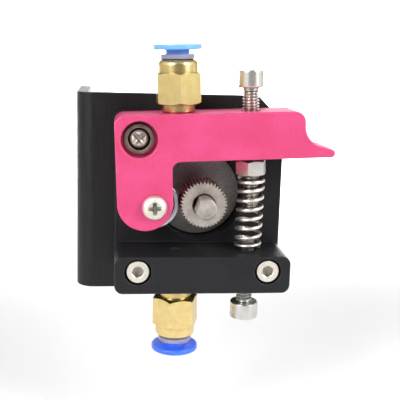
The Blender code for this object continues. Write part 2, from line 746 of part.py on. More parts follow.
def make_fitting(prefix, parent, seat, facing, hex_turn):
    """Brass body, grey ring, blue release collet, toothed ring and O-ring, stacked outwards."""
    hex_high = COLLAR_HEIGHT + HEX_HEIGHT
    cap_high = hex_high + CAP_HEIGHT
    ring_high = cap_high + RING_HEIGHT
    profile = [(0, cap_high)]
    profile += arc(CAP_RADIUS - CAP_SHOULDER, cap_high - CAP_SHOULDER, CAP_SHOULDER, 90, 0, 4)
    profile += [
        (CAP_RADIUS, hex_high - OVERRUN),
        (COLLAR_RADIUS, hex_high - OVERRUN),
        (COLLAR_RADIUS, 0),
        (THREAD_RADIUS, 0),
        (THREAD_RADIUS, -THREAD_LENGTH + TIP_CHAMFER),
        (THREAD_RADIUS - TIP_CHAMFER, -THREAD_LENGTH),
        (0, -THREAD_LENGTH),
    ]
    body = turned(f"{prefix}_fitting_body", profile, "brass", parent, seat, facing)
    hexagon = prism("fitting_hex", hex_radius(HEX_ACROSS_FLATS), COLLAR_HEIGHT, hex_high, 6)
    join_shape(body, "UNION", add_helper(body, hexagon, seat, facing, hex_turn))
    top = Vector(seat) + FACING[facing] @ Vector((0, 0, cap_high))
    bore(body, POCKET_RADIUS, top, cap_high - POCKET_FLOOR, facing)
    bore(body, TUBE_RADIUS + SHAFT_GAP, top, cap_high - TUBE_STOP, facing)
    bore(body, FITTING_HOLE, top, cap_high + THREAD_LENGTH + PAST, facing)
    ring_foot = cap_high + SEAT_GAP / 2
    ring = [
        (RING_RADIUS, ring_high),
        (RING_RADIUS, ring_foot),
        (POCKET_RADIUS - SLIDE_GAP, ring_foot),
        (POCKET_RADIUS - SLIDE_GAP, SLEEVE_FOOT),
        (NECK_RADIUS + SLIDE_GAP, SLEEVE_FOOT),
        (NECK_RADIUS + SLIDE_GAP, ring_high),
    ]
    turned_ring(f"{prefix}_fitting_ring", ring, "ring_grey", parent, seat, facing)
    flange_foot = ring_high + NECK_HEIGHT
    flange_top = flange_foot + COLLET_HEIGHT
    collet = [
        (COLLET_RADIUS - COLLET_EDGE, flange_top),
        (COLLET_RADIUS, flange_top - COLLET_EDGE),
        (COLLET_RADIUS, flange_foot + COLLET_EDGE),
        (COLLET_RADIUS - COLLET_EDGE, flange_foot),
        (NECK_RADIUS, flange_foot),
        (NECK_RADIUS, COLLET_FOOT),
        (TUBE_RADIUS, COLLET_FOOT),
        (TUBE_RADIUS, flange_top),
    ]
    turned_ring(f"{prefix}_collet", collet, f"collet_blue_{prefix}", parent, seat, facing)
    grip = washer_profile(GRIP_RADIUS, TUBE_RADIUS + SLIDE_GAP, GRIP_LOW, GRIP_HIGH)
    turned_ring(f"{prefix}_grip_ring", grip, "spring_steel", parent, seat, facing)
    o_ring = [
        (O_RING_RADIUS + O_RING_WIRE * math.cos(a), O_RING_HEIGHT - O_RING_WIRE * math.sin(a))
        for a in circle_angles(8)
    ]
    turned_ring(f"{prefix}_o_ring", o_ring, "black_rubber", parent, seat, facing)


# --- drive ------------------------------------------------------------------------------------


def gear_outline():
    points = []
    half_pitch = math.pi / TEETH
    for middle in circle_angles(TEETH):
        for angle, radius in ((middle - half_pitch, GEAR_ROOT), (middle, GEAR_RADIUS)):
            points.append((radius * math.cos(angle), radius * math.sin(angle)))
    return points


def make_drive():
    teeth_back = (0, GEAR_FRONT_Y + TOOTHED_LENGTH, 0)
    mesh = slab("drive_gear", gear_outline(), 0, TOOTHED_LENGTH)
    gear = add_piece("drive_gear", mesh, "gear_steel", ASSEMBLY, teeth_back, "front")
    hub = prism("gear_hub", HUB_RADIUS, TOOTHED_LENGTH - GEAR_LENGTH, PAST)
    join_shape(gear, "UNION", add_helper(gear, hub, teeth_back, "front"))
    bore(gear, SHAFT_RADIUS + SHAFT_GAP, (0, GEAR_FRONT_Y, 0), GEAR_LENGTH + PAST, "front", ROUND)
    hob = [
        (GEAR_RADIUS + PAST, HOB_HALF_WIDTH),
        (GEAR_RADIUS + PAST, -HOB_HALF_WIDTH),
        (GEAR_RADIUS - HOB_DEPTH, 0),
    ]
    groove = add_helper(gear, profile_mesh("hob_groove", hob, closed=True), (0, PATH_Y, 0), "front")
    spin(groove)
    join_shape(gear, "DIFFERENCE", groove)
    make_grub_screw(gear)


def make_grub_screw(gear):
    """The screw in the gear's hub that bears on the shaft's flat."""
    place = (0, GRUB_Y, 0)
    flat = SHAFT_RADIUS - FLAT_DEPTH
    outwards = Matrix.Rotation(math.pi / 2 - FLAT_ANGLE, 4, "Y")
    outer_end = HUB_RADIUS - SLEEVE_PROUD
    hole = add_helper(gear, prism("grub_hole", M3_SHANK, flat - SEAT_GAP, HUB_RADIUS + PAST, SMALL), place)
    hole.matrix_basis = hole.matrix_basis @ outwards
    join_shape(gear, "DIFFERENCE", hole)
    grub = prism("gear_grub_screw", M3_SHANK - SEAT_GAP, flat + SEAT_GAP, outer_end, SMALL)
    obj = add_piece("gear_grub_screw", grub, "dark_steel", ASSEMBLY, place)
    obj.matrix_basis = obj.matrix_basis @ outwards
    mesh = prism("grub_socket", hex_radius(GRUB_KEY), outer_end - GRUB_KEY_DEPTH, outer_end + PAST, 6)
    socket = add_helper(obj, mesh, place)
    socket.matrix_basis = socket.matrix_basis @ outwards
    join_shape(obj, "DIFFERENCE", socket)


def make_shaft():
    length = SHAFT_BACK_Y - SHAFT_END_Y
    profile = [
        (0, 0),
        (SHAFT_RADIUS - SHAFT_CHAMFER, 0),
        (SHAFT_RADIUS, -SHAFT_CHAMFER),
        (SHAFT_RADIUS, -length + SHAFT_CHAMFER),
        (SHAFT_RADIUS - SHAFT_CHAMFER, -length),
        (0, -length),
    ]
    shaft = turned("motor_shaft", profile, "gear_steel", ASSEMBLY, (0, SHAFT_END_Y, 0), "front")
    removed = 2 * SHAFT_RADIUS
    away = SHAFT_RADIUS - FLAT_DEPTH + removed / 2
    middle_y = SHAFT_END_Y + (FLAT_LENGTH - PAST) / 2
    middle = (away * math.cos(FLAT_ANGLE), middle_y, away * math.sin(FLAT_ANGLE))
    cut_block(shaft, (removed, FLAT_LENGTH + PAST, 2 * removed), middle, -FLAT_ANGLE)
    for name, radius, front, back, material in ROTOR_SLICES:
        ring = washer_profile(radius, SHAFT_RADIUS + SHAFT_GAP, 0, back - front)
        turned_ring(name, ring, material, ASSEMBLY, (0, back, 0), "front")


# --- motor ------------------------------------------------------------------------------------


def chamfered_square(half, cut):
    near = half - cut
    corners = ((half, near), (near, half), (-near, half), (-half, near))
    return [*corners, *[(-x, -y) for x, y in corners]]


def bolt_places():
    return [(x, z) for x in (-SCREW_PITCH, SCREW_PITCH) for z in (-SCREW_PITCH, SCREW_PITCH)]


def bore_bolt_holes(obj, radius, front, length):
    for x, z in bolt_places():
        bore(obj, radius, (x, front, z), length, "front", SMALL)


def cut_ring(obj, outer, inner, front, back):
    """An annular pocket about the motor's axis."""
    mesh = profile_mesh("pocket", washer_profile(outer, inner, 0, back - front), closed=True)
    helper = spin(add_helper(obj, mesh, (0, back, 0), "front"))
    join_shape(obj, "DIFFERENCE", helper)


def make_motor_caps():
    square = chamfered_square(MOTOR_HALF, CAP_CUT)
    mesh = slab("motor_front_cap", square, 0, FRONT_CAP_BACK_Y - MOTOR_FACE_Y)
    cap = add_piece("motor_front_cap", mesh, "cast_aluminium", ASSEMBLY, (0, FRONT_CAP_BACK_Y, 0), "front")
    boss = prism("boss", BOSS_RADIUS, -PAST, BOSS_HEIGHT)
    join_shape(cap, "UNION", add_helper(cap, boss, (0, MOTOR_FACE_Y, 0), "front"))
    length = FRONT_CAP_BACK_Y - MOTOR_FACE_Y + BOSS_HEIGHT + PAST
    bore(cap, SHAFT_OPENING, (0, MOTOR_FACE_Y - BOSS_HEIGHT, 0), length, "front", ROUND)
    bore_bolt_holes(cap, M3_HOLE, MOTOR_FACE_Y, BOLT_DEPTH)
    depth = BEARING_WIDTH + FRONT_CAP_BACK_Y - FRONT_BEARING_Y + SEAT_GAP
    bore(cap, BEARING_SEAT, (0, FRONT_CAP_BACK_Y, 0), depth, "back", ROUND)
    cut_ring(cap, COIL_ROOM_OUTER, COIL_ROOM_INNER, FRONT_COIL_ROOM_Y, FRONT_CAP_BACK_Y + PAST)

    front = REAR_CAP_FRONT_Y
    mesh = slab("motor_rear_cap", square, 0, MOTOR_BACK_Y - front)
    rear = add_piece("motor_rear_cap", mesh, "cast_aluminium", ASSEMBLY, (0, MOTOR_BACK_Y, 0), "front")
    bore_bolt_holes(rear, M3_HOLE, front, BOLT_DEPTH)
    bore(rear, BEARING_SEAT, (0, front, 0), WAVE_Y + SEAT_GAP - front, "front", ROUND)
    cut_ring(rear, COIL_ROOM_OUTER, COIL_ROOM_INNER, front - PAST, REAR_COIL_ROOM_Y)
    for x, z in bolt_places():
        depth = MOTOR_HEAD_SEAT + SEAT_GAP
        bore(rear, MOTOR_HEAD_POCKET, (x, MOTOR_BACK_Y, z), depth, "back", SMALL)
    cut_block(rear, CONNECTOR_ROOM, (0, CONNECTOR_ROOM_Y, -MOTOR_HALF + SEAT_GAP))
    make_connector()


def make_connector():
    place = (0, CONNECTOR_Y, -MOTOR_HALF)
    mesh = block("motor_connector", CONNECTOR_SIZE)
    obj = add_piece("motor_connector", mesh, "connector_white", ASSEMBLY, place)
    cut_block(obj, CONNECTOR_SOCKET, (place[0], place[1], place[2] - CONNECTOR_FLOOR))


def pole_outline():
    """The winding room and the rotor's room of a stator: everything between its poles."""
    pole = (
        (POLE_ROOT, -POLE_HALF_WIDTH),
        (SHOE_OUTER, -POLE_HALF_WIDTH),
        (SHOE_OUTER, -SHOE_HALF_WIDTH),
        (SHOE_INNER, -SHOE_HALF_WIDTH),
        (SHOE_INNER, SHOE_HALF_WIDTH),
        (SHOE_OUTER, SHOE_HALF_WIDTH),
        (SHOE_OUTER, POLE_HALF_WIDTH),
        (POLE_ROOT, POLE_HALF_WIDTH),
    )
    outline = []
    for angle in circle_angles(POLES):
        along = math.cos(angle)
        across = math.sin(angle)
        outline += [(x * along - y * across, x * across + y * along) for x, y in pole]
    return outline


def make_stator():
    """A laminated stack with eight poles, and a coil on each pole."""
    front = FRONT_CAP_BACK_Y + SEAT_GAP
    length = STATOR_BACK_Y - front
    mesh = slab("stator_core", chamfered_square(MOTOR_HALF, STATOR_CUT), 0, length)
    back = (0, STATOR_BACK_Y, 0)
    core = add_piece("stator_core", mesh, "lamination", ASSEMBLY, back, "front")
    room = slab("stator_slots", pole_outline(), -PAST, length + PAST)
    join_shape(core, "DIFFERENCE", add_helper(core, room, back, "front"))
    bore_bolt_holes(core, M3_HOLE, front, length + PAST)
    middle = (0, (STATOR_BACK_Y + front) / 2, 0)
    for number, angle in enumerate(circle_angles(POLES), 1):
        size = (COIL_DEPTH, length + 2 * COIL_OVERHANG, COIL_WIDTH)
        mesh = block("stator_coil", size, (COIL_MIDDLE, 0, 0))
        coil = add_piece(f"stator_coil_{number}", mesh, "copper", ASSEMBLY, middle)
        around = Matrix.Rotation(-angle, 4, "Y")
        coil.matrix_basis = coil.matrix_basis @ around
        size = (2 * COIL_DEPTH, length + 2 * SEAT_GAP, COIL_WINDOW)
        helper = add_helper(coil, block("coil_window", size, (COIL_MIDDLE, 0, 0)), middle)
        helper.matrix_basis = helper.matrix_basis @ around
        join_shape(coil, "DIFFERENCE", helper)


def make_motor_bearings():
    for side, back in (("front", FRONT_BEARING_Y), ("rear", REAR_BEARING_Y)):
        place = (0, back, 0)
        outer = washer_profile(BEARING_RADIUS, BEARING_STEP, 0, BEARING_WIDTH)
        turned_ring(f"motor_{side}_outer_race", outer, "bearing_steel", ASSEMBLY, place, "front")
        inner = washer_profile(BEARING_INNER, SHAFT_RADIUS + SHAFT_GAP, 0, BEARING_WIDTH)
        turned_ring(f"motor_{side}_inner_race", inner, "bearing_steel", ASSEMBLY, place, "front")
    wave = washer_profile(WAVE_RADIUS, WAVE_INSIDE, 0, WAVE_THICK)
    turned_ring("wave_washer", wave, "spring_steel", ASSEMBLY, (0, WAVE_Y, 0), "front")


def make_motor_screws():
    profile = [*MOTOR_HEAD_PROFILE, (M3_SHANK, 0), (M3_SHANK, -MOTOR_SCREW_LENGTH), (0, -MOTOR_SCREW_LENGTH)]
    length, depth, width = MOTOR_CROSS
    for number, (x, z) in enumerate(bolt_places(), 1):
        place = (x, MOTOR_BACK_Y - MOTOR_HEAD_SEAT, z)
        obj = turned(f"motor_screw_{number}", profile, "dark_steel", ASSEMBLY, place, "back", steps=SMALL)
        middle = (x, MOTOR_BACK_Y - SLEEVE_PROUD, z)
        cut_block(obj, (length, depth, width), middle)
        cut_block(obj, (width, depth, length), middle)


clear_scene()
PARTS = new_collection("extruder_gear_assembly", shown=True)
CUTTERS = new_collection("cutters", shown=False)
MATERIALS = {
    name: make_material(name, color, roughness, metallic)
    for name, color, roughness, metallic in (
        ("bracket_black", (0.018, 0.018, 0.020), 0.45, 0.3),
        ("block_black", (0.022, 0.022, 0.026), 0.5, 0.3),
        ("lever_pink", (0.80, 0.09, 0.24), 0.38, 0.6),
        ("nickel", (0.72, 0.69, 0.64), 0.25, 1.0),
        ("spring_steel", (0.70, 0.68, 0.64), 0.2, 1.0),
        ("bush_bronze", (0.33, 0.26, 0.22), 0.45, 0.9),
        ("bearing_steel", (0.62, 0.60, 0.66), 0.25, 1.0),
        ("gear_steel", (0.62, 0.58, 0.52), 0.35, 1.0),
        ("dark_steel", (0.08, 0.08, 0.09), 0.4, 0.8),
        ("brass", (0.80, 0.60, 0.25), 0.25, 1.0),
        ("ring_grey", (0.36, 0.34, 0.50), 0.45, 0.0),
        ("collet_blue_upper", (0.10, 0.36, 0.92), 0.35, 0.0),
        ("collet_blue_lower", (0.05, 0.25, 0.92), 0.35, 0.0),
        ("black_rubber", (0.02, 0.02, 0.02), 0.8, 0.0),
        ("cast_aluminium", (0.34, 0.32, 0.31), 0.55, 0.8),
        ("lamination", (0.22, 0.22, 0.23), 0.5, 0.8),
        ("copper", (0.55, 0.22, 0.10), 0.4, 0.9),
        ("connector_white", (0.85, 0.84, 0.80), 0.5, 0.0),
    )
}
ASSEMBLY = make_frame("assembly", 0, 0, 0)
LEVER = make_frame("lever_pivot_axis", PIVOT_X, 0, PIVOT_Z, ASSEMBLY, -LEVER_TILT)

make_bracket()
make_base_block()
make_frame_screws()
make_guide_screw()
make_pivot()
make_lever()
make_idler()
make_tension_screw()
make_spring()
UPPER_SEAT = (FILAMENT_X, PATH_Y, LEVER_TOP_Z + SEAT_GAP)
LOWER_SEAT = (FILAMENT_X, PATH_Y, LIP_BOTTOM_Z - SEAT_GAP - LOWER_STAND_OFF)
make_fitting("upper", LEVER, UPPER_SEAT, "up", UPPER_HEX_TURN)
make_fitting("lower", ASSEMBLY, LOWER_SEAT, "down", LOWER_HEX_TURN)
make_drive()
make_shaft()
make_motor_caps()
make_stator()
make_motor_bearings()
make_motor_screws()
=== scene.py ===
"""Looks of the extruder gear assembly: detailed pieces over the CAD, materials, light and camera.

Shapes are built in millimetres and MM turns them into metres. Places are written from the motor
shaft's axis, X right, Y away from the front, Z up, with Y = 0 at the base plate's front face.
"""

import math

import bmesh
import bpy
import numpy as np
from mathutils import Matrix, Vector
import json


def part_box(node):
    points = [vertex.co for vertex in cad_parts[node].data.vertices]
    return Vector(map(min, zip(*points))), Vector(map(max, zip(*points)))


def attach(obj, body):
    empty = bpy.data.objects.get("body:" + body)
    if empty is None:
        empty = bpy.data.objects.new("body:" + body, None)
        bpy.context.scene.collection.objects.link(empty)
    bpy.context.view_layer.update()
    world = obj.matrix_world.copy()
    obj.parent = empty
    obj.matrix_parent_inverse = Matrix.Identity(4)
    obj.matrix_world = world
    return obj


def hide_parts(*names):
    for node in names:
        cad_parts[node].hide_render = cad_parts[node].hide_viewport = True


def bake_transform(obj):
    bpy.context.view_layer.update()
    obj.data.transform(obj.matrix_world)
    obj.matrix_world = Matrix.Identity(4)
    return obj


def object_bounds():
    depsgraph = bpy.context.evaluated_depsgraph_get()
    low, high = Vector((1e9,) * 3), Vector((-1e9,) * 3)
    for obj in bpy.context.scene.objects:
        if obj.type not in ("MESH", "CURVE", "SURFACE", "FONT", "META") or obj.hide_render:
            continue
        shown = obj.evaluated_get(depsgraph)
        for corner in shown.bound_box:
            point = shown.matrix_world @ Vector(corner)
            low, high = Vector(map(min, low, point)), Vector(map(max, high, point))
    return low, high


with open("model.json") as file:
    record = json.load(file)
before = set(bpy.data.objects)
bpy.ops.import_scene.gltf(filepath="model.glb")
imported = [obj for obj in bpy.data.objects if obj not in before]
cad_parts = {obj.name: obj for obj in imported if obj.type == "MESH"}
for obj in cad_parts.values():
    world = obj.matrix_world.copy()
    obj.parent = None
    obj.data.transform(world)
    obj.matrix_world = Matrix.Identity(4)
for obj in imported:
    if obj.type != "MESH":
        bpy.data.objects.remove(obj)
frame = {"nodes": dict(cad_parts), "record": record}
CAD_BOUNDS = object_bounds()
SLOT_OF = {part["node"]: part["material_slot"] for part in frame["record"]["subparts"]}
BODY_OF = {
    node: body
    for body, nodes in frame["record"]["behaviour"]["bodies"].items()
    for node in nodes
}

# --- sizes, in millimetres ---

MM = 0.001
FINE = 96  # sides of a turned piece
COARSE = 48  # sides of a small hole
SHARP_ANGLE = math.radians(35)  # edges turning more than this stay sharp
SPRING_SHARP_ANGLE = math.radians(50)
PLATE_THICK = 3.9
SCREW_PITCH = 15.5
M3_SHANK = 1.5
M3_PITCH = 0.5
M3_HOLE = 1.65
M3_HEAD_RADIUS = 2.7
M3_HEAD_HEIGHT = 3.0
M3_KEY = 2.5
M4_KEY = 3.0
RUNNING_GAP = 0.15  # round a rod in its hole
DEEP = 20  # a cutter this deep runs right through
M4_SHANK = 2.0
M4_PITCH = 0.7
THREAD_SHARE = 0.6134  # of the pitch, from crest to root

SHEET = 3.0
FLANGE_FACE_X = -30.6
FLANGE_END_Y = 32.0
WEB_FRONT_Y = 4.0
WEB_BACK_Y = WEB_FRONT_Y + SHEET
BRACKET_HALF_HEIGHT = 25.0
BEND_RADIUS = 4.5
CORNER_CUT = 6.0
SLOT_Z = 15.0
SLOT_HALF_WIDTH = 2.25
SLOT_LENGTH = 12.0
FLANGE_MIDDLE_Y = 20.0
BRACKET_WINDOW = 11.25
BRACKET_EDGE = 0.25

HALF_WIDTH = 21.0
LIP_TOP_Z = -11.8
LIP_BOTTOM_Z = -20.9
LIP_FRONT_Y = -14.5
BLOCK_CORNER = 2.0
BLOCK_EDGE = 0.45
WINDOW_RADIUS = 11.0
COUNTERBORE_RADIUS = 3.15
COUNTERBORE_FLOOR_Y = -11.1
BASE_SCREW_LENGTH = 22.0
PLATE_RECESS_RADIUS = 3.2
PLATE_RECESS_DEPTH = 2.0
PLATE_SCREW_HEAD = 1.5
PLATE_SCREW_LENGTH = 8.0
PLATE_SCREW_CROSS = 3.0

FILAMENT_X = -5.9
PATH_Y = -7.0
SPRING_X = 11.3
FILAMENT_HOLE = 1.2

PIVOT_X = -SCREW_PITCH
PIVOT_Z = SCREW_PITCH
LEVER_TILT = math.radians(2.5)
LEVER_FRONT_Y = -12.9
LEVER_BACK_Y = -0.9
LEVER_TOP_Z = 21.1
ARM_BOTTOM_Z = 10.05
LEG_X = -14.58
LEG_Z = 0.5
LEG_RADIUS = 6.53
THUMB_END_X = 30.55
THUMB_TIP_RADIUS = 0.97
THUMB_SLOPE = math.radians(16)
THUMB_SWEEP_RADIUS = 5.0
SHOULDER_X = 23.4
OUTER_CORNER = 2.5
INNER_CORNER = 2.0
LEVER_EDGE = 0.35

BUSH_RADIUS = 3.6
BUSH_FRONT_Y = -11.2
BUSH_RECESS = 2.6
PIVOT_COUNTERBORE_RADIUS = 4.25
PIVOT_COUNTERBORE_DEPTH = 3.2
PIVOT_HEAD_RADIUS = 2.45
PIVOT_HEAD_HEIGHT = 2.2
PIVOT_SCREW_LENGTH = 19.9
PIVOT_CROSS = 3.7
PIVOT_SCREW_TURN = math.radians(45)
PIVOT_WASHER_RADIUS = 5.5

IDLER_X = -12.5
IDLER_Z = -0.3
RACE_RADIUS = 6.0
RACE_FRONT_Y = -9.0
RACE_BACK_Y = -5.0
IDLER_HEAD_RADIUS = 2.95
IDLER_HEAD_HEIGHT = 2.1
IDLER_SCREW_LENGTH = 11.7
IDLER_CROSS = 3.0
RACE_SIDE_GAP = 0.3
RACE_POCKET_GAP = 0.5
OUTER_RACE_BORE = 4.9
INNER_RACE_RADIUS = 3.05
INNER_RACE_BORE = 2.05
SLEEVE_RADIUS = 1.95
SLEEVE_BORE = 1.6
SLEEVE_OVERHANG = 0.2
SHIELD_RADIUS = 4.82
SHIELD_BORE = 3.2
SHIELD_THICK = 0.25
SHIELD_INSET = 0.15

TEETH = 40
GEAR_RADIUS = 5.6
GEAR_ROOT = 5.15
GEAR_FRONT_Y = -11.2
TOOTHED_LENGTH = 7.4
HUB_RADIUS = 4.5
GEAR_LENGTH = 11.0
HOB_DEPTH = 0.75
HOB_RADIUS = 2.4
GRUB_Y = -2.0
SHAFT_RADIUS = 2.5
SHAFT_GAP = 0.06
SHAFT_END_Y = -16.5
SHAFT_BACK_Y = 42.4
FLAT_LENGTH = 16.5
FLAT_DEPTH = 0.5
FLAT_ANGLE = math.radians(160.0)

SPRING_RADIUS = 2.9
WIRE_RADIUS = 0.45
SPRING_BOTTOM_Z = -11.65
SPRING_TOP_Z = 6.55
SPRING_TURNS = 8.5
SPRING_FOOT_X = 11.6
SPRING_HEAD_X = 11.9
M4_HEAD_RADIUS = 3.1
M4_HEAD_HEIGHT = 4.0
TENSION_HEAD_Z = 26.6
TENSION_LENGTH = 30.0
NUT_TOP_Z = 9.25
NUT_HEIGHT = 3.6
NUT_ACROSS_FLATS = 6.7
NUT_TURN = math.radians(11)
NUT_GAP = 0.12  # between the nut and the screw
GUIDE_HEAD_Z = -25.2
GUIDE_HEAD_RADIUS = 3.5
GUIDE_LENGTH = 16.0

THREAD_RADIUS = 2.9
THREAD_LENGTH = 5.6
COLLAR_RADIUS = 3.9
COLLAR_HEIGHT = 1.85
HEX_ACROSS_FLATS = 10.0
HEX_HEIGHT = 7.3
CAP_RADIUS = 4.8
CAP_HEIGHT = 3.0
RING_RADIUS = 4.05
RING_HEIGHT = 1.15
NECK_RADIUS = 2.8
NECK_HEIGHT = 1.05
COLLET_RADIUS = 5.75
COLLET_HEIGHT = 1.25
TUBE_RADIUS = 2.05
POCKET_RADIUS = 3.45
SEAT_GAP = 0.1
LOWER_STAND_OFF = 0.7  # thread left showing above the lower fitting
UPPER_SEAT_Z = LEVER_TOP_Z + SEAT_GAP
LOWER_SEAT_Z = LIP_BOTTOM_Z - SEAT_GAP - LOWER_STAND_OFF
CAP_SHOULDER = 1.3
THROUGH_BORE = 1.1
POCKET_FLOOR = 6.0
TUBE_STOP = 1.0
RING_FOOT = 10.2
COLLET_FOOT = 9.0
UPPER_HEX_TURN = math.radians(31)
LOWER_HEX_TURN = math.radians(48)

MOTOR_HALF = 21.15
MOTOR_FACE_Y = WEB_BACK_Y + 0.05
FRONT_CAP_BACK_Y = 15.5
STATOR_BACK_Y = 36.4
REAR_CAP_FRONT_Y = 36.5
MOTOR_BACK_Y = 45.0
BOSS_RADIUS = 11.0
BOSS_HEIGHT = 2
CAP_CORNER = 4.0
STATOR_CORNER = 5.5
CAP_EDGE = 0.35
STATOR_EDGE = 0.15
STATOR_GAP = 0.1
STATOR_BORE = 11.6
SHAFT_OPENING = 3.3
BEARING_SEAT = 8.05
FRONT_SEAT_DEPTH = 5.6
REAR_WALL = 1.8
MOTOR_HEAD_HEIGHT = 1.9
MOTOR_HEAD_SEAT = 2.1
MOTOR_HEAD_POCKET = 3.0
MOTOR_SCREW_LENGTH = 30.0
MOTOR_CROSS = 3.2
PLUG_Y = 40.7
PLUG_OUTSIDE = (16.0, 6.0, 6.6)
PLUG_INSIDE = (14.2, 4.4, 6.6)
PLUG_NOTCH = (1.6, 2.0, 4.0)
PLUG_OPENING = (16.6, 7.0, 10.0)  # in the rear cap
PLUG_OPENING_Y = 42.4
PINS = 6
PIN_PITCH = 2.0
PIN_SIZE = (0.5, 0.5, 5.0)

# --- frames to place pieces in ---

stator_low, stator_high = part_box("stator_core")
block_low, block_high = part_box("base_block")
AXIS = (Vector(stator_low) + Vector(stator_high)) / 2
HOME = Matrix.Translation((AXIS.x, block_high[1] - PLATE_THICK * MM, AXIS.z))
PIVOT = Vector((PIVOT_X, 0, PIVOT_Z)) * MM
LEVER_HOME = (
    HOME @ Matrix.Translation(PIVOT) @ Matrix.Rotation(-LEVER_TILT, 4, "Y") @ Matrix.Translation(-PIVOT)
)
FACING = {
    "up": Matrix.Identity(4),
    "down": Matrix.Rotation(math.pi, 4, "X"),
    "front": Matrix.Rotation(math.pi / 2, 4, "X"),
    "back": Matrix.Rotation(-math.pi / 2, 4, "X"),
}


def at(home, place, facing="up", turn=0.0):
    """The matrix of a piece whose own Z axis points the way that facing says."""
    return (
        home
        @ Matrix.Translation(Vector(place) * MM)
        @ FACING[facing]
        @ Matrix.Rotation(turn, 4, "Z")
    )


# --- shapes, in millimetres along their own Z axis ---


def circle_angles(count):
    return [2 * math.pi * i / count for i in range(count)]


def arc(x, y, radius, start, end, steps=12):
    angles = [math.radians(start + (end - start) * i / steps) for i in range(steps + 1)]
    return [(x + radius * math.cos(a), y + radius * math.sin(a)) for a in angles]


def softened(points, radius, steps=4):
    """An open profile whose inner corners are rounded, each by at most a third of its shorter side."""
    corners = [Vector(point) for point in points]
    made = [tuple(corners[0])]
    for before, corner, after in zip(corners, corners[1:], corners[2:]):
        back = before - corner
        ahead = after - corner
        reach = min(radius, back.length / 3, ahead.length / 3)
        start = corner + back.normalized() * reach
        end = corner + ahead.normalized() * reach
        for i in range(steps + 1):
            t = i / steps
            made.append(tuple(start * (1 - t) ** 2 + corner * (2 * t * (1 - t)) + end * t**2))
    made.append(tuple(corners[-1]))
    return made


def softened_ring(points, radius, steps=4):
    """The same for a closed profile."""
    middle = (Vector(points[-1]) + Vector(points[0])) / 2
    return softened([tuple(middle), *points, tuple(middle)], radius, steps)[:-1]


def to_mesh(bm, name="shape"):
    bmesh.ops.recalc_face_normals(bm, faces=bm.faces)
    mesh = bpy.data.meshes.new(name)
    bm.to_mesh(mesh)
    bm.free()
    return mesh


def lathe(profile, steps=FINE):
    """Turns (radius, height) points about Z. Ends off the axis are joined, which makes a ring."""
    bm = bmesh.new()
    rings = []
    for radius, height in profile:
        sides = steps if radius > 0 else 1
        around = circle_angles(sides)
        ring = [bm.verts.new((radius * math.cos(a), radius * math.sin(a), height)) for a in around]
        rings.append(ring)
    pairs = list(zip(rings, rings[1:]))
    if profile[0][0] > 0:
        pairs.append((rings[-1], rings[0]))
    for upper, lower in pairs:
        for i in range(steps):
            j = (i + 1) % steps
            corners = [upper[i % len(upper)], upper[j % len(upper)]]
            corners += [lower[j % len(lower)], lower[i % len(lower)]]
            corners = list(dict.fromkeys(corners))
            if len(corners) > 2:
                bm.faces.new(corners)
    return to_mesh(bm)


def loft(loops):
    """A solid through loops with the same number of 3D points, with flat ends."""
    bm = bmesh.new()
    rings = [[bm.verts.new(point) for point in loop] for loop in loops]
    for lower, upper in zip(rings, rings[1:]):
        count = len(lower)
        for i in range(count):
            j = (i + 1) % count
            bm.faces.new((lower[i], lower[j], upper[j], upper[i]))
    bm.faces.new(rings[0])
    bm.faces.new(rings[-1])
    return to_mesh(bm)


def prism(outline, low, high):
    return loft([[(x, y, low) for x, y in outline], [(x, y, high) for x, y in outline]])


def polygon(sides, radius):
    return [(radius * math.cos(a), radius * math.sin(a)) for a in circle_angles(sides)]


def box_mesh(size, middle=(0, 0, 0)):
    x, y, z = (side / 2 for side in size)
    loops = [[(-x, -y, end), (x, -y, end), (x, y, end), (-x, y, end)] for end in (-z, z)]
    mesh = loft(loops)
    mesh.transform(Matrix.Translation(middle))
    return mesh


def rounded_rectangle(left, bottom, right, top, radius):
    corners = (
        (right - radius, top - radius, 0),
        (left + radius, top - radius, 90),
        (left + radius, bottom + radius, 180),
        (right - radius, bottom + radius, 270),
    )
    return [point for x, y, start in corners for point in arc(x, y, radius, start, start + 90)]


def evaluated_mesh(obj):
    bpy.context.view_layer.update()
    depsgraph = bpy.context.evaluated_depsgraph_get()
    return bpy.data.meshes.new_from_object(obj.evaluated_get(depsgraph))


def plate(outline, low, high, edge, steps=3):
    """A flat outline as a slab with its edges rounded."""
    curve = bpy.data.curves.new("outline", "CURVE")
    curve.dimensions = "2D"
    curve.fill_mode = "BOTH"
    curve.extrude = (high - low) / 2 - edge
    curve.bevel_depth = edge
    curve.bevel_resolution = steps
    curve.offset = -edge
    spline = curve.splines.new("POLY")
    spline.points.add(len(outline) - 1)
    for point, (x, y) in zip(spline.points, outline):
        point.co = (x, y, 0.0, 1.0)
    spline.use_cyclic_u = True
    flat = bpy.data.objects.new("outline", curve)
    bpy.context.scene.collection.objects.link(flat)
    filled = evaluated_mesh(flat)
    bm = bmesh.new()
    bm.from_mesh(filled)
    bmesh.ops.remove_doubles(bm, verts=bm.verts, dist=1e-4)
    bmesh.ops.dissolve_limit(bm, angle_limit=1e-3, verts=bm.verts, edges=bm.edges)
    bmesh.ops.translate(bm, verts=bm.verts, vec=(0, 0, (low + high) / 2))
    bpy.data.objects.remove(flat, do_unlink=True)
    return to_mesh(bm)


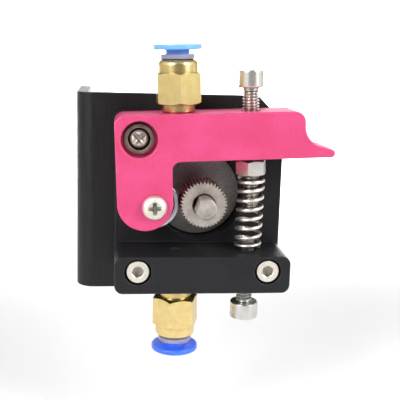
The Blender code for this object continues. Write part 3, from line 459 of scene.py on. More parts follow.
def thread(radius, pitch, length, end_chamfer=0.4):
    """A right-hand threaded rod from height 0 down to -length, as one closed skin."""
    columns = 40  # round the rod
    rows = 8  # along one pitch
    count = int((length / pitch + 2) * rows)
    column, row = np.meshgrid(np.arange(columns + 1), np.arange(count + 1), indexing="ij")
    angle = 2 * math.pi * column / columns
    height = (column / columns + row / rows) * pitch - length - pitch
    height = np.clip(height, -length, 0)
    phase = (height / pitch - column / columns) % 1.0
    ridge = np.clip(2.2 * np.abs(2 * phase - 1) - 0.6, 0, 1)
    reach = radius - THREAD_SHARE * pitch * (1 - ridge)
    reach = np.minimum(reach, radius - end_chamfer + (height + length))
    x = reach * np.cos(angle)
    y = reach * np.sin(angle)
    bm = bmesh.new()
    skin = []
    for i in range(columns + 1):
        skin.append([bm.verts.new((x[i, j], y[i, j], height[i, j])) for j in range(count + 1)])
    for i in range(columns):
        for j in range(count):
            bm.faces.new((skin[i][j], skin[i + 1][j], skin[i + 1][j + 1], skin[i][j + 1]))
    for j, end in ((0, -length), (count, 0.0)):
        centre = bm.verts.new((0, 0, end))
        for i in range(columns):
            bm.faces.new((skin[i][j], skin[i + 1][j], centre))
    bmesh.ops.remove_doubles(bm, verts=bm.verts, dist=1e-4)
    bmesh.ops.dissolve_degenerate(bm, edges=bm.edges, dist=1e-4)
    return to_mesh(bm)


def combine(mesh, other, operation, place=Matrix.Identity(4)):
    """One mesh cut by, joined with or kept inside another."""
    other.transform(place)
    first = bpy.data.objects.new("first", mesh)
    second = bpy.data.objects.new("second", other)
    for obj in (first, second):
        bpy.context.scene.collection.objects.link(obj)
    modifier = first.modifiers.new("Combine", "BOOLEAN")
    modifier.operation = operation
    modifier.solver = "EXACT"
    modifier.object = second
    made = evaluated_mesh(first)
    for obj in (first, second):
        bpy.data.objects.remove(obj, do_unlink=True)
    return made


def cut(mesh, cutter, place=Matrix.Identity(4)):
    return combine(mesh, cutter, "DIFFERENCE", place)


def join(mesh, other, place=Matrix.Identity(4)):
    return combine(mesh, other, "UNION", place)


def shift(x, y, z):
    return Matrix.Translation((x, y, z))


def hole(radius, depth, chamfer=0.2, steps=COARSE):
    """A cutter from height 0 down, with a chamfer at its mouth."""
    flare = radius + chamfer + 1
    return lathe([(0, 1), (flare, 1), (radius, -chamfer), (radius, -depth), (0, -depth)], steps)


def drill(mesh, place, radius, depth, chamfer=0.2, steps=COARSE):
    """A hole from place down its Z axis."""
    return cut(mesh, hole(radius, depth, chamfer, steps), place)


def hex_outline(across_flats):
    return polygon(6, across_flats / math.sqrt(3))


def chamfered_hex(across_flats, low, high, ends=(True, True)):
    """A hexagon whose corners are turned down at the ends that ends says."""
    corner = across_flats / math.sqrt(3)
    flat = across_flats / 2
    drop = (corner - flat + 0.1) * math.tan(math.radians(30))
    top = flat - 0.1 if ends[1] else corner + 0.5
    foot = flat - 0.1 if ends[0] else corner + 0.5
    profile = [(0, high), (top, high), (corner + 0.02, high - drop)]
    profile += [(corner + 0.02, low + drop), (foot, low), (0, low)]
    return combine(prism(hex_outline(across_flats), low, high), lathe(profile), "INTERSECT")


def hex_socket(key, depth):
    """A cutter for a hexagonal key socket with a drilled cone at its floor."""
    mesh = prism(hex_outline(key), -depth, 1)
    inner = key / 2 * 0.98
    drilled = [(0, -0.2), (inner, -0.2), (inner, -depth), (0, -depth - inner * 0.5)]
    mesh = join(mesh, lathe(drilled, COARSE))
    mouth = key / math.sqrt(3)
    flare = [(0, 1), (mouth + 1.05, 1), (mouth + 0.05, 0), (mouth * 0.9, -0.15), (0, -0.15)]
    return join(mesh, lathe(flare, COARSE))


def cross_socket(span, width, depth):
    """A cutter for a cross recess: four wings that narrow as they go down to a point."""
    arm = span / 2
    half = width / 2
    inner = half * 1.25
    quarter = [(arm, -half), (arm, half), (inner, inner)]
    outline = []
    for turn in circle_angles(4):
        along = math.cos(turn)
        across = math.sin(turn)
        outline += [(x * along - y * across, x * across + y * along) for x, y in quarter]
    levels = ((1.2, 0.6), (1.0, 0.0), (0.62, -depth * 0.7), (0.24, -depth))
    return loft([[(x * scale, y * scale, height) for x, y in outline] for scale, height in levels])


# --- pieces ---


def finish_piece(name, mesh, material, body, place):
    """A mesh in millimetres as a piece in its place, riding on its body."""
    mesh.transform(Matrix.Scale(MM, 4))
    mesh.materials.clear()
    mesh.materials.append(material)
    mesh.shade_smooth()
    mesh.set_sharp_from_angle(angle=SHARP_ANGLE)
    obj = bpy.data.objects.new(name, mesh)
    bpy.context.scene.collection.objects.link(obj)
    obj.matrix_world = place
    weighted = obj.modifiers.new("Even shading", "WEIGHTED_NORMAL")
    weighted.keep_sharp = True
    weighted.weight = 80
    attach(obj, body)
    return obj


def show(node, mesh, place, material=None):
    """A detailed mesh in place of a CAD node."""
    slot = SLOT_OF[node]
    material = material or MATERIALS[slot]
    obj = finish_piece(f"{node}_shape", mesh, material, BODY_OF[node], place)
    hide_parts(node)


# --- materials ---


class Surface:
    """A Principled material whose patterns are read in the object's own space, in metres."""

    def __init__(self, name, color, metallic, roughness):
        self.material = bpy.data.materials.new(name)
        self.material.use_nodes = True
        self.tree = self.material.node_tree
        self.shader = self.tree.nodes["Principled BSDF"]
        self.set("Base Color", (*color, 1.0))
        self.set("Metallic", metallic)
        self.set("Roughness", roughness)
        self.coords = self.tree.nodes.new("ShaderNodeTexCoord").outputs["Object"]
        self.normal = None

    def set(self, socket, value):
        self.shader.inputs[socket].default_value = value

    def add(self, kind, inputs, **settings):
        made = self.tree.nodes.new(kind)
        for name, value in settings.items():
            setattr(made, name, value)
        for name, value in inputs.items():
            if isinstance(value, bpy.types.NodeSocket):
                self.tree.links.new(value, made.inputs[name])
            else:
                made.inputs[name].default_value = value
        return made

    def feed(self, socket, output):
        self.tree.links.new(output, self.shader.inputs[socket])

    def stretched(self, scale):
        return self.add("ShaderNodeMapping", {"Vector": self.coords, "Scale": scale}).outputs["Vector"]

    def noise(self, size, detail=3.0, rough=0.6, coords=None):
        """Noise whose grain is about size millimetres."""
        inputs = {"Vector": coords or self.coords, "Scale": 1 / (size * MM)}
        inputs.update({"Detail": detail, "Roughness": rough})
        return self.add("ShaderNodeTexNoise", inputs).outputs["Fac"]

    def rings(self, spacing):
        """Turning marks about the piece's own Z axis, spacing millimetres apart."""
        scale = 2 * math.pi / (20 * spacing * MM)
        inputs = {"Vector": self.coords, "Scale": scale}
        made = self.add("ShaderNodeTexWave", inputs, wave_type="RINGS", rings_direction="Z")
        return made.outputs["Fac"]

    def bands(self, spacing, direction):
        scale = 2 * math.pi / (20 * spacing * MM)
        inputs = {"Vector": self.coords, "Scale": scale}
        made = self.add("ShaderNodeTexWave", inputs, wave_type="BANDS", bands_direction=direction)
        return made.outputs["Fac"]

    def between(self, value, low, high, start=0.0, end=1.0):
        """value from start to end, read as low to high."""
        inputs = {"Value": value, "From Min": start, "From Max": end, "To Min": low, "To Max": high}
        return self.add("ShaderNodeMapRange", inputs).outputs["Result"]

    def rough(self, value, low, high):
        self.feed("Roughness", self.between(value, low, high, 0.3, 0.7))

    def edges(self, radius, full=0.7):
        """1 on an edge or a corner, falling to 0 radius millimetres away."""
        rounded = self.add("ShaderNodeBevel", {"Radius": radius * MM}, samples=6).outputs["Normal"]
        plain = self.tree.nodes.new("ShaderNodeNewGeometry").outputs["Normal"]
        inputs = {0: rounded, 1: plain}
        dot = self.add("ShaderNodeVectorMath", inputs, operation="DOT_PRODUCT").outputs["Value"]
        return self.between(dot, 1.0, 0.0, full, 0.99)

    def hollows(self, reach):
        """1 deep in a recess or a thread's root, 0 in the open; it places the painted shade in plated metal.
        """
        made = self.add("ShaderNodeAmbientOcclusion", {"Distance": reach * MM}, samples=6)
        return self.between(made.outputs["AO"], 1.0, 0.0, 0.3, 0.9)

    def times(self, first, second):
        return self.add("ShaderNodeMath", {0: first, 1: second}, operation="MULTIPLY").outputs[0]

    def plus(self, first, second):
        return self.add("ShaderNodeMath", {0: first, 1: second}, operation="ADD").outputs[0]

    def mix(self, factor, first, second):
        """A colour from first to second. Either may be a colour or a socket."""
        made = self.tree.nodes.new("ShaderNodeMix")
        made.data_type = "RGBA"
        self.tree.links.new(factor, made.inputs["Factor"])
        for socket, value in (("A", first), ("B", second)):
            into = [i for i in made.inputs if i.name == socket and i.type == "RGBA"][0]
            if isinstance(value, bpy.types.NodeSocket):
                self.tree.links.new(value, into)
            else:
                into.default_value = (*value, 1.0)
        return [o for o in made.outputs if o.type == "RGBA"][0]

    def bump(self, height, depth):
        """Raises the surface by up to depth millimetres."""
        inputs = {"Height": height, "Distance": depth * MM, "Strength": 1.0}
        if self.normal is not None:
            inputs["Normal"] = self.normal
        self.normal = self.add("ShaderNodeBump", inputs).outputs["Normal"]
        self.feed("Normal", self.normal)


def anodised(name, color, deep, edge_highlight, roughness, metallic, shine):
    """Blasted and anodised aluminium: a fine sparkling grain and softer colour patches, with a painted
    highlight that pales the edges.
    """
    surface = Surface(name, color, metallic, roughness)
    surface.set("Specular IOR Level", shine)
    patches = surface.between(surface.noise(9.0, 2.0), 0.0, 1.0, 0.35, 0.65)
    grain = surface.between(surface.noise(0.22, 4.0, 0.7), 0.0, 1.0, 0.3, 0.7)
    tone = surface.mix(patches, deep, color)
    speckled = surface.mix(surface.times(grain, 0.16), tone, edge_highlight)
    # painted highlight: the edges, broken up by noise, are paled towards the pale tone; the same pale tone
    # also speckles the grain
    highlit_edges = surface.times(surface.edges(0.35), surface.between(surface.noise(1.2, 3.0), 0.55, 1.0, 0.3, 0.7))
    surface.feed("Base Color", surface.mix(surface.times(highlit_edges, 0.75), speckled, edge_highlight))
    surface.feed("Roughness", surface.between(grain, roughness - 0.06, roughness + 0.1))
    surface.bump(surface.noise(0.16, 3.0, 0.7), 0.006)
    surface.bump(surface.noise(6.0, 1.0), 0.01)
    return surface.material


def plated(name, color, shade, roughness, ring_spacing=0.12, ring_depth=0.0007):
    """Bright plated or turned metal: turning marks, hairline scratches, dull patches, and painted shade that
    darkens its recesses.
    """
    surface = Surface(name, color, 1.0, roughness)
    scratches = surface.noise(0.25, 3.0, 0.6, surface.stretched((1.0, 1.0, 9.0)))
    patches = surface.between(surface.noise(1.6, 3.0), 0.0, 1.0, 0.35, 0.7)
    recess_shade_colour = tuple(channel * 0.22 for channel in shade)
    clean = surface.mix(patches, shade, color)
    # painted shade: recesses, found by ambient occlusion, darken towards a dark copy of the patch tone
    surface.feed("Base Color", surface.mix(surface.times(surface.hollows(2.0), 0.8), clean, recess_shade_colour))
    surface.rough(scratches, roughness * 0.7, roughness * 1.5)
    surface.bump(surface.rings(ring_spacing), ring_depth)
    surface.bump(surface.noise(0.7, 2.0), 0.003)
    return surface.material


def moulded(name, color, deep, roughness):
    """Moulded plastic with a faint orange peel and a little light under its skin."""
    surface = Surface(name, color, 0.0, roughness)
    surface.set("Subsurface Weight", 0.25)
    surface.set("Subsurface Radius", (0.4, 0.6, 1.0))
    surface.set("Subsurface Scale", 0.0008)
    surface.set("Coat Weight", 0.15)
    patches = surface.between(surface.noise(2.5, 3.0), 0.0, 1.0, 0.3, 0.7)
    surface.feed("Base Color", surface.mix(patches, deep, color))
    rough = surface.between(surface.noise(0.4, 3.0), roughness - 0.06, roughness + 0.08)
    surface.feed("Roughness", rough)
    surface.bump(surface.noise(0.3, 3.0), 0.003)
    return surface.material


def painted_sheet():
    """Black satin coat on sheet metal with a painted highlight along its edges, and a faint rolled grain."""
    surface = Surface("bracket_black", (0.012, 0.012, 0.013), 0.0, 0.42)
    surface.set("Specular IOR Level", 0.3)
    rolled = surface.noise(0.5, 3.0, 0.6, surface.stretched((1.0, 1.0, 0.06)))
    grain = surface.noise(0.2, 3.0)
    # painted highlight: the edges, broken up by noise, are lightened towards pale grey
    edge_highlight = surface.times(surface.edges(0.3), surface.between(surface.noise(0.9, 4.0), 0.2, 1.0, 0.35, 0.7))
    streaks = surface.between(rolled, 0.0, 1.0, 0.3, 0.7)
    tone = surface.mix(streaks, (0.007, 0.007, 0.0075), (0.014, 0.014, 0.0155))
    surface.feed("Base Color", surface.mix(surface.times(edge_highlight, 0.6), tone, (0.30, 0.30, 0.31)))
    surface.rough(rolled, 0.34, 0.50)
    surface.bump(rolled, 0.004)
    surface.bump(grain, 0.003)
    return surface.material


def cast():
    """Die-cast metal: a sandy skin of bright crystals on a dark ground."""
    surface = Surface("cast_aluminium", (0.34, 0.32, 0.31), 0.75, 0.45)
    sand = surface.noise(0.20, 3.0, 0.65)
    clouds = surface.noise(1.5, 2.0)
    bright = surface.between(surface.plus(sand, surface.times(clouds, 0.06)), 0.0, 1.0, 0.36, 0.74)
    surface.feed("Base Color", surface.mix(bright, (0.15, 0.14, 0.135), (0.64, 0.60, 0.58)))
    surface.rough(sand, 0.34, 0.6)
    surface.bump(sand, 0.03)
    surface.bump(surface.noise(0.9, 2.0), 0.02)
    return surface.material


def laminated():
    """The edge of a stack of varnished steel sheets, 0.5 mm each, stacked along Z."""
    surface = Surface("lamination", (0.20, 0.20, 0.21), 0.8, 0.45)
    sheets = surface.bands(0.5, "Z")
    grain = surface.noise(0.3, 4.0, 0.7)
    surface.feed("Base Color", surface.mix(sheets, (0.07, 0.07, 0.075), (0.26, 0.26, 0.27)))
    surface.rough(grain, 0.35, 0.6)
    surface.bump(sheets, 0.05)
    surface.bump(grain, 0.01)
    return surface.material


def wound_copper():
    surface = Surface("copper", (0.55, 0.20, 0.08), 0.9, 0.32)
    turns = surface.bands(0.35, "Y")
    surface.feed("Base Color", surface.mix(turns, (0.22, 0.06, 0.02), (0.65, 0.26, 0.10)))
    surface.rough(surface.noise(0.6), 0.25, 0.42)
    surface.bump(turns, 0.06)
    return surface.material


def rubber():
    surface = Surface("black_rubber", (0.02, 0.02, 0.02), 0.0, 0.7)
    bloom = surface.between(surface.noise(0.8, 4.0), 0.0, 1.0, 0.4, 0.75)
    surface.feed("Base Color", surface.mix(bloom, (0.012, 0.012, 0.012), (0.05, 0.05, 0.05)))
    surface.feed("Roughness", surface.between(bloom, 0.6, 0.85))
    surface.bump(surface.noise(0.1, 2.0), 0.002)
    return surface.material


MATERIALS = {
    "bracket_black": painted_sheet(),
    "black_rubber": rubber(),
    "cast_aluminium": cast(),
    "lamination": laminated(),
    "copper": wound_copper(),
}
# columns: name, colour, deep patch tone, pale tone for the grain and the painted edge highlight, roughness,
# metallic, specular level
for name, *looks in (
    ("block_black", (0.0065, 0.0063, 0.0075), (0.004, 0.004, 0.005), (0.10, 0.10, 0.11), 0.42, 0.0, 0.22),
    ("lever_pink", (0.74, 0.060, 0.215), (0.68, 0.042, 0.16), (0.90, 0.36, 0.52), 0.42, 0.45, 0.4),
):
    MATERIALS[name] = anodised(name, *looks)
# columns: name, colour, patch tone (also darkened for the painted recess shade), roughness, and for some the
# ring spacing and ring depth
for name, *looks in (
    ("nickel", (0.82, 0.78, 0.70), (0.74, 0.69, 0.61), 0.46),
    ("bright_nickel", (0.95, 0.91, 0.85), (0.86, 0.81, 0.75), 0.22),
    ("zinc_steel", (0.70, 0.69, 0.66), (0.58, 0.57, 0.54), 0.30),
    ("spring_steel", (0.95, 0.90, 0.84), (0.84, 0.79, 0.73), 0.32, 0.2, 0.0005),
    ("bush_bronze", (0.34, 0.25, 0.22), (0.20, 0.14, 0.12), 0.42),
    ("bearing_steel", (0.66, 0.64, 0.70), (0.52, 0.50, 0.56), 0.22),
    ("gear_steel", (0.66, 0.61, 0.55), (0.52, 0.47, 0.42), 0.34, 0.16, 0.0012),
    ("dark_steel", (0.10, 0.10, 0.11), (0.05, 0.05, 0.055), 0.36),
    ("brass", (0.84, 0.67, 0.32), (0.78, 0.58, 0.23), 0.24, 0.14, 0.0008),
):
    MATERIALS[name] = plated(name, *looks)
for name, *looks in (
    ("ring_grey", (0.27, 0.26, 0.36), (0.22, 0.21, 0.30), 0.42),
    ("collet_blue_upper", (0.19, 0.46, 0.98), (0.14, 0.38, 0.92), 0.32),
    ("collet_blue_lower", (0.045, 0.17, 0.90), (0.03, 0.12, 0.80), 0.30),
    ("connector_white", (0.86, 0.85, 0.80), (0.78, 0.76, 0.70), 0.45),
):
    MATERIALS[name] = moulded(name, *looks)


# --- sheet bracket ---


def show_bracket():
    left = FLANGE_FACE_X
    bend_x = left + BEND_RADIUS
    bend_y = WEB_FRONT_Y + BEND_RADIUS
    outline = [(HALF_WIDTH, WEB_BACK_Y), (HALF_WIDTH, WEB_FRONT_Y)]
    outline += arc(bend_x, bend_y, BEND_RADIUS, 270, 180, 24)
    outline += [(left, FLANGE_END_Y), (left + SHEET, FLANGE_END_Y)]
    outline += arc(bend_x, bend_y, BEND_RADIUS - SHEET, 180, 270, 16)
    height = BRACKET_HALF_HEIGHT
    mesh = plate(outline, -height, height, BRACKET_EDGE, 2)
    front = shift(0, WEB_FRONT_Y, 0) @ FACING["front"]
    mesh = drill(mesh, front, BRACKET_WINDOW, SHEET + 1, 0.2, FINE)
    for x, z in bolt_places():
        mesh = drill(mesh, shift(x, WEB_FRONT_Y, z) @ FACING["front"], M3_HOLE, SHEET + 1)
    side = CORNER_CUT * math.sqrt(2)
    for z in (-height, height):
        turned = shift(HALF_WIDTH, WEB_BACK_Y, z) @ Matrix.Rotation(math.pi / 4, 4, "Y")
        mesh = cut(mesh, box_mesh((side, 3 * SHEET, side)), turned)
    across = Matrix(((0, 0, 1, 0), (1, 0, 0, 0), (0, 1, 0, 0), (0, 0, 0, 1)))
    reach = SLOT_LENGTH / 2 - SLOT_HALF_WIDTH
    for z in (-SLOT_Z, SLOT_Z):
        loop = arc(FLANGE_MIDDLE_Y + reach, z, SLOT_HALF_WIDTH, -90, 90)
        loop += arc(FLANGE_MIDDLE_Y - reach, z, SLOT_HALF_WIDTH, 90, 270)
        mesh = cut(mesh, prism(loop, -SHEET, SHEET), shift(left + SHEET / 2, 0, 0) @ across)
    show("motor_bracket", mesh, HOME)


def bolt_places():
    return [(x, z) for x in (-SCREW_PITCH, SCREW_PITCH) for z in (-SCREW_PITCH, SCREW_PITCH)]


# --- base block ---


def show_base_block():
    """Its own Z axis points to the front, so a depth is a distance towards the front."""
    wall = rounded_rectangle(-HALF_WIDTH, LIP_BOTTOM_Z, HALF_WIDTH, HALF_WIDTH, BLOCK_CORNER)
    lip = rounded_rectangle(-HALF_WIDTH, LIP_BOTTOM_Z, HALF_WIDTH, LIP_TOP_Z, BLOCK_CORNER)
    mesh = plate(wall, -PLATE_THICK, 0, BLOCK_EDGE)
    mesh = join(mesh, plate(lip, -PLATE_THICK + 0.02, -LIP_FRONT_Y, BLOCK_EDGE))
    mesh = drill(mesh, shift(0, 0, 0), WINDOW_RADIUS, PLATE_THICK + 1, 0.3, FINE)
    for x in (-SCREW_PITCH, SCREW_PITCH):
        mesh = drill(mesh, shift(x, SCREW_PITCH, 0), M3_HOLE, PLATE_THICK + 1)
        mouth = shift(x, -SCREW_PITCH, -LIP_FRONT_Y)
        mesh = drill(mesh, mouth, COUNTERBORE_RADIUS, COUNTERBORE_FLOOR_Y - LIP_FRONT_Y, 0.12, FINE)
        mesh = drill(mesh, mouth, M3_HOLE, PLATE_THICK - LIP_FRONT_Y + 1, 0.0)
    mesh = drill(mesh, shift(SCREW_PITCH, SCREW_PITCH, 0), PLATE_RECESS_RADIUS, PLATE_RECESS_DEPTH)
    up = FACING["back"]
    down = FACING["front"]
    for x, radius, chamfer in ((FILAMENT_X, FILAMENT_HOLE, 0.35), (SPRING_X, M4_SHANK + RUNNING_GAP, 0.2)):
        mesh = drill(mesh, shift(x, LIP_TOP_Z, -PATH_Y) @ up, radius, DEEP, chamfer)
    seat = shift(FILAMENT_X, LIP_BOTTOM_Z, -PATH_Y) @ down
    mesh = drill(mesh, seat, THREAD_RADIUS + RUNNING_GAP, THREAD_LENGTH + 0.3, 0.3)
    show("base_block", mesh, at(HOME, (0, 0, 0), "front"))


# --- fasteners ---


def socket_screw(head, height, shank, pitch, length, key):
    """A socket head cap screw whose head's underside is at height 0."""
    neck = shank * 0.98
    profile = [(0, height), (head - 0.1, height), (head, height - 0.3), (head, 0.2), (head - 0.2, 0)]
    profile = softened(profile, 0.1)
    profile += [(neck + 0.1, 0), (neck, -0.1), (neck, -0.8), (0, -0.8)]
    mesh = join(lathe(profile), thread(shank, pitch, length - 0.3), shift(0, 0, -0.3))
    return cut(mesh, hex_socket(key, height * 0.55), shift(0, 0, height))


def pan_screw(head, height, shank, pitch, length, span):
    """A pan head screw with a cross recess."""
    crown = [(0, height), (head * 0.6, height * 0.96), (head * 0.9, height * 0.72)]
    crown += [(head, height * 0.35), (head, 0)]
    profile = [*softened(crown, 0.5, 6)[:-1], (head, 0.12), (head - 0.12, 0)]
    profile += [(shank, 0), (shank, -0.6), (0, -0.6)]
    mesh = join(lathe(profile), thread(shank, pitch, length - 0.2), shift(0, 0, -0.2))
    recess = cross_socket(span, span * 0.27, height * 0.55)
    return cut(mesh, recess, shift(0, 0, height * 0.97))


def show_frame_screws():
    size = (M3_HEAD_RADIUS, M3_HEAD_HEIGHT, M3_SHANK, M3_PITCH, BASE_SCREW_LENGTH, M3_KEY)
    for side, x, degrees in (("left", -SCREW_PITCH, 12), ("right", SCREW_PITCH, 25)):
        place = at(HOME, (x, COUNTERBORE_FLOOR_Y - SEAT_GAP, -SCREW_PITCH), "front", math.radians(degrees))
        show(f"base_screw_{side}", socket_screw(*size), place)
    size = (M3_HEAD_RADIUS, PLATE_SCREW_HEAD, M3_SHANK, M3_PITCH, PLATE_SCREW_LENGTH, PLATE_SCREW_CROSS)
    seat = (SCREW_PITCH, PLATE_RECESS_DEPTH - SEAT_GAP, SCREW_PITCH)
    show("plate_screw", pan_screw(*size), at(HOME, seat, "front"))
    size = (GUIDE_HEAD_RADIUS, M4_HEAD_HEIGHT, M4_SHANK, M4_PITCH, GUIDE_LENGTH, M4_KEY)
    place = at(HOME, (SPRING_X, PATH_Y, GUIDE_HEAD_Z), "down")
    show("guide_screw", socket_screw(*size), place, MATERIALS["zinc_steel"])


def show_pivot():
    length = -BUSH_FRONT_Y - SEAT_GAP
    floor = length - BUSH_RECESS
    profile = [
        (BUSH_RADIUS, length),
        (BUSH_RADIUS, 0),
        (M3_HOLE, 0),
        (M3_HOLE, floor),
        (BUSH_RECESS, floor),
        (BUSH_RECESS, length),
    ]
    show("pivot_bush", lathe(softened_ring(profile, 0.25)), at(HOME, (PIVOT_X, -SEAT_GAP, PIVOT_Z), "front"))
    seat = (PIVOT_X, -SEAT_GAP - floor - SEAT_GAP / 2, PIVOT_Z)
    size = (PIVOT_HEAD_RADIUS, PIVOT_HEAD_HEIGHT, M3_SHANK, M3_PITCH, PIVOT_SCREW_LENGTH, PIVOT_CROSS)
    show("pivot_screw", pan_screw(*size), at(HOME, seat, "front", PIVOT_SCREW_TURN))
    inside = BUSH_RADIUS + RUNNING_GAP
    ring = washer(PIVOT_WASHER_RADIUS, inside, SEAT_GAP, -LEVER_BACK_Y - SEAT_GAP, 0.1)
    show("pivot_washer", ring, at(HOME, (PIVOT_X, 0, PIVOT_Z), "front"))


def washer(outer, inner, low, high, edge):
    return lathe(softened_ring([(outer, high), (outer, low), (inner, low), (inner, high)], edge))


# --- lever ---


def lever_outline():
    tip = THUMB_TIP_RADIUS
    sweep = THUMB_SWEEP_RADIUS
    slope_cos, slope_sin = math.cos(THUMB_SLOPE), math.sin(THUMB_SLOPE)
    tip_x = THUMB_END_X - tip
    tip_z = ARM_BOTTOM_Z + tip
    sweep_x = SHOULDER_X + sweep
    sweep_z = tip_z + (tip + sweep - (sweep_x - tip_x) * slope_sin) / slope_cos
    slope = math.degrees(THUMB_SLOPE)
    leg_right = LEG_X + LEG_RADIUS
    leg_left = LEG_X - LEG_RADIUS
    outline = arc(LEG_X, LEG_Z, LEG_RADIUS, 180, 360, 48)
    outline += arc(leg_right + INNER_CORNER, ARM_BOTTOM_Z - INNER_CORNER, INNER_CORNER, 180, 90)
    outline += arc(tip_x, tip_z, tip, -90, 90 - slope)
    outline += arc(sweep_x, sweep_z, sweep, 270 - slope, 180, 20)
    outline += arc(SHOULDER_X - OUTER_CORNER, LEVER_TOP_Z - OUTER_CORNER, OUTER_CORNER, 0, 90)
    outline += arc(leg_left + OUTER_CORNER, LEVER_TOP_Z - OUTER_CORNER, OUTER_CORNER, 90, 180)
    return outline


def show_lever():
    """Its own Z axis points to the front."""
    front = -LEVER_FRONT_Y
    thick = LEVER_BACK_Y - LEVER_FRONT_Y
    mesh = plate(lever_outline(), -LEVER_BACK_Y, front, LEVER_EDGE, 2)
    pivot = shift(PIVOT_X, PIVOT_Z, front)
    mesh = drill(mesh, pivot, BUSH_RADIUS + 0.1, thick + 1, 0.0, FINE)
    mesh = drill(mesh, pivot, PIVOT_COUNTERBORE_RADIUS, PIVOT_COUNTERBORE_DEPTH, 0.2, FINE)
    mesh = drill(mesh, shift(IDLER_X, IDLER_Z, front), M3_HOLE, thick + 1)
    pocket_low = -RACE_BACK_Y - RACE_SIDE_GAP
    pocket_high = -RACE_FRONT_Y + RACE_SIDE_GAP
    pocket = prism(polygon(FINE, RACE_RADIUS + RACE_POCKET_GAP), pocket_low, pocket_high)
    mesh = cut(mesh, pocket, shift(IDLER_X, IDLER_Z, 0))
    down = FACING["back"]
    for x, radius, depth, chamfer in (
        (FILAMENT_X, FILAMENT_HOLE, DEEP, 0.1),
        (FILAMENT_X, THREAD_RADIUS + RUNNING_GAP, THREAD_LENGTH + 0.3, 0.2),
        (SPRING_X, M4_SHANK + RUNNING_GAP, DEEP, 0.25),
    ):
        mesh = drill(mesh, shift(x, LEVER_TOP_Z, -PATH_Y) @ down, radius, depth, chamfer)
    show("lever_arm", mesh, at(LEVER_HOME, (0, 0, 0), "front"))


def show_idler():
    width = RACE_BACK_Y - RACE_FRONT_Y
    place = at(LEVER_HOME, (IDLER_X, RACE_BACK_Y, IDLER_Z), "front")
    seat = (IDLER_X, LEVER_FRONT_Y - SEAT_GAP / 2, IDLER_Z)
    size = (IDLER_HEAD_RADIUS, IDLER_HEAD_HEIGHT, M3_SHANK, M3_PITCH, IDLER_SCREW_LENGTH, IDLER_CROSS)
    show("idler_screw", pan_screw(*size), at(LEVER_HOME, seat, "front"))
    show("idler_outer_race", washer(RACE_RADIUS, OUTER_RACE_BORE, 0, width, 0.3), place)
    show("idler_inner_race", washer(INNER_RACE_RADIUS, INNER_RACE_BORE, 0, width, 0.15), place)
    ends = (-SLEEVE_OVERHANG, width + SLEEVE_OVERHANG)
    show("idler_sleeve", washer(SLEEVE_RADIUS, SLEEVE_BORE, *ends, 0.08), place)
    for side, low in (("rear", SHIELD_INSET), ("front", width - SHIELD_INSET - SHIELD_THICK)):
        shield = washer(SHIELD_RADIUS, SHIELD_BORE, low, low + SHIELD_THICK, 0.08)
        show(f"idler_{side}_shield", shield, place)


# --- tension screw, nut and spring ---


def show_tension():
    size = (M4_HEAD_RADIUS, M4_HEAD_HEIGHT, M4_SHANK, M4_PITCH, TENSION_LENGTH, M4_KEY)
    place = at(LEVER_HOME, (SPRING_X, PATH_Y, TENSION_HEAD_Z), "up")
    show("tension_screw", socket_screw(*size), place, MATERIALS["bright_nickel"])
    nut = chamfered_hex(NUT_ACROSS_FLATS, -NUT_HEIGHT, 0)
    for mouth in (Matrix.Identity(4), shift(0, 0, -NUT_HEIGHT) @ FACING["down"]):
        nut = drill(nut, mouth, M4_SHANK + NUT_GAP, NUT_HEIGHT + 1, 0.3)
    place = at(LEVER_HOME, (SPRING_X, PATH_Y, NUT_TOP_Z), "up", NUT_TURN)
    show("tension_nut", nut, place, MATERIALS["bright_nickel"])


def show_spring():
    """A wire swept along a helix, with its end coils closed."""
    height = SPRING_TOP_Z - SPRING_BOTTOM_Z
    per_turn = 40
    sides = 16
    closed_rise = 2 * WIRE_RADIUS + 0.2
    free_rise = height - 2 * WIRE_RADIUS - 2 * closed_rise
    free_turns = SPRING_TURNS - 2
    turns = np.linspace(0, SPRING_TURNS, int(SPRING_TURNS * per_turn) + 1)
    closed = np.minimum(turns, 1) + np.maximum(turns - 1 - free_turns, 0)
    free = np.clip(turns - 1, 0, free_turns)
    z = WIRE_RADIUS + closed * closed_rise + free * free_rise / free_turns
    lean = (SPRING_HEAD_X - SPRING_FOOT_X) * z / height
    angle = 2 * math.pi * turns
    path = np.stack([lean + SPRING_RADIUS * np.cos(angle), SPRING_RADIUS * np.sin(angle), z], axis=1)
    along = np.gradient(path, axis=0)
    along /= np.linalg.norm(along, axis=1)[:, None]
    outwards = np.stack([np.cos(angle), np.sin(angle), 0 * turns], axis=1)
    upwards = np.cross(along, outwards)
    loops = []
    for middle, out, up in zip(path, outwards, upwards):
        around = circle_angles(sides)
        loops.append([middle + WIRE_RADIUS * (math.cos(a) * out + math.sin(a) * up) for a in around])
    place = at(HOME, (SPRING_FOOT_X, PATH_Y, SPRING_BOTTOM_Z))
    mesh = loft(loops)
    mesh.transform(Matrix.Scale(MM, 4))
    mesh.transform(place)
    mesh.materials.append(MATERIALS["spring_steel"])
    mesh.shade_smooth()
    mesh.set_sharp_from_angle(angle=SPRING_SHARP_ANGLE)
    obj = bpy.data.objects.new("tension_spring_shape", mesh)
    bpy.context.scene.collection.objects.link(obj)
    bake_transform(obj)
    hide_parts("tension_spring")


# --- push-fit fittings ---


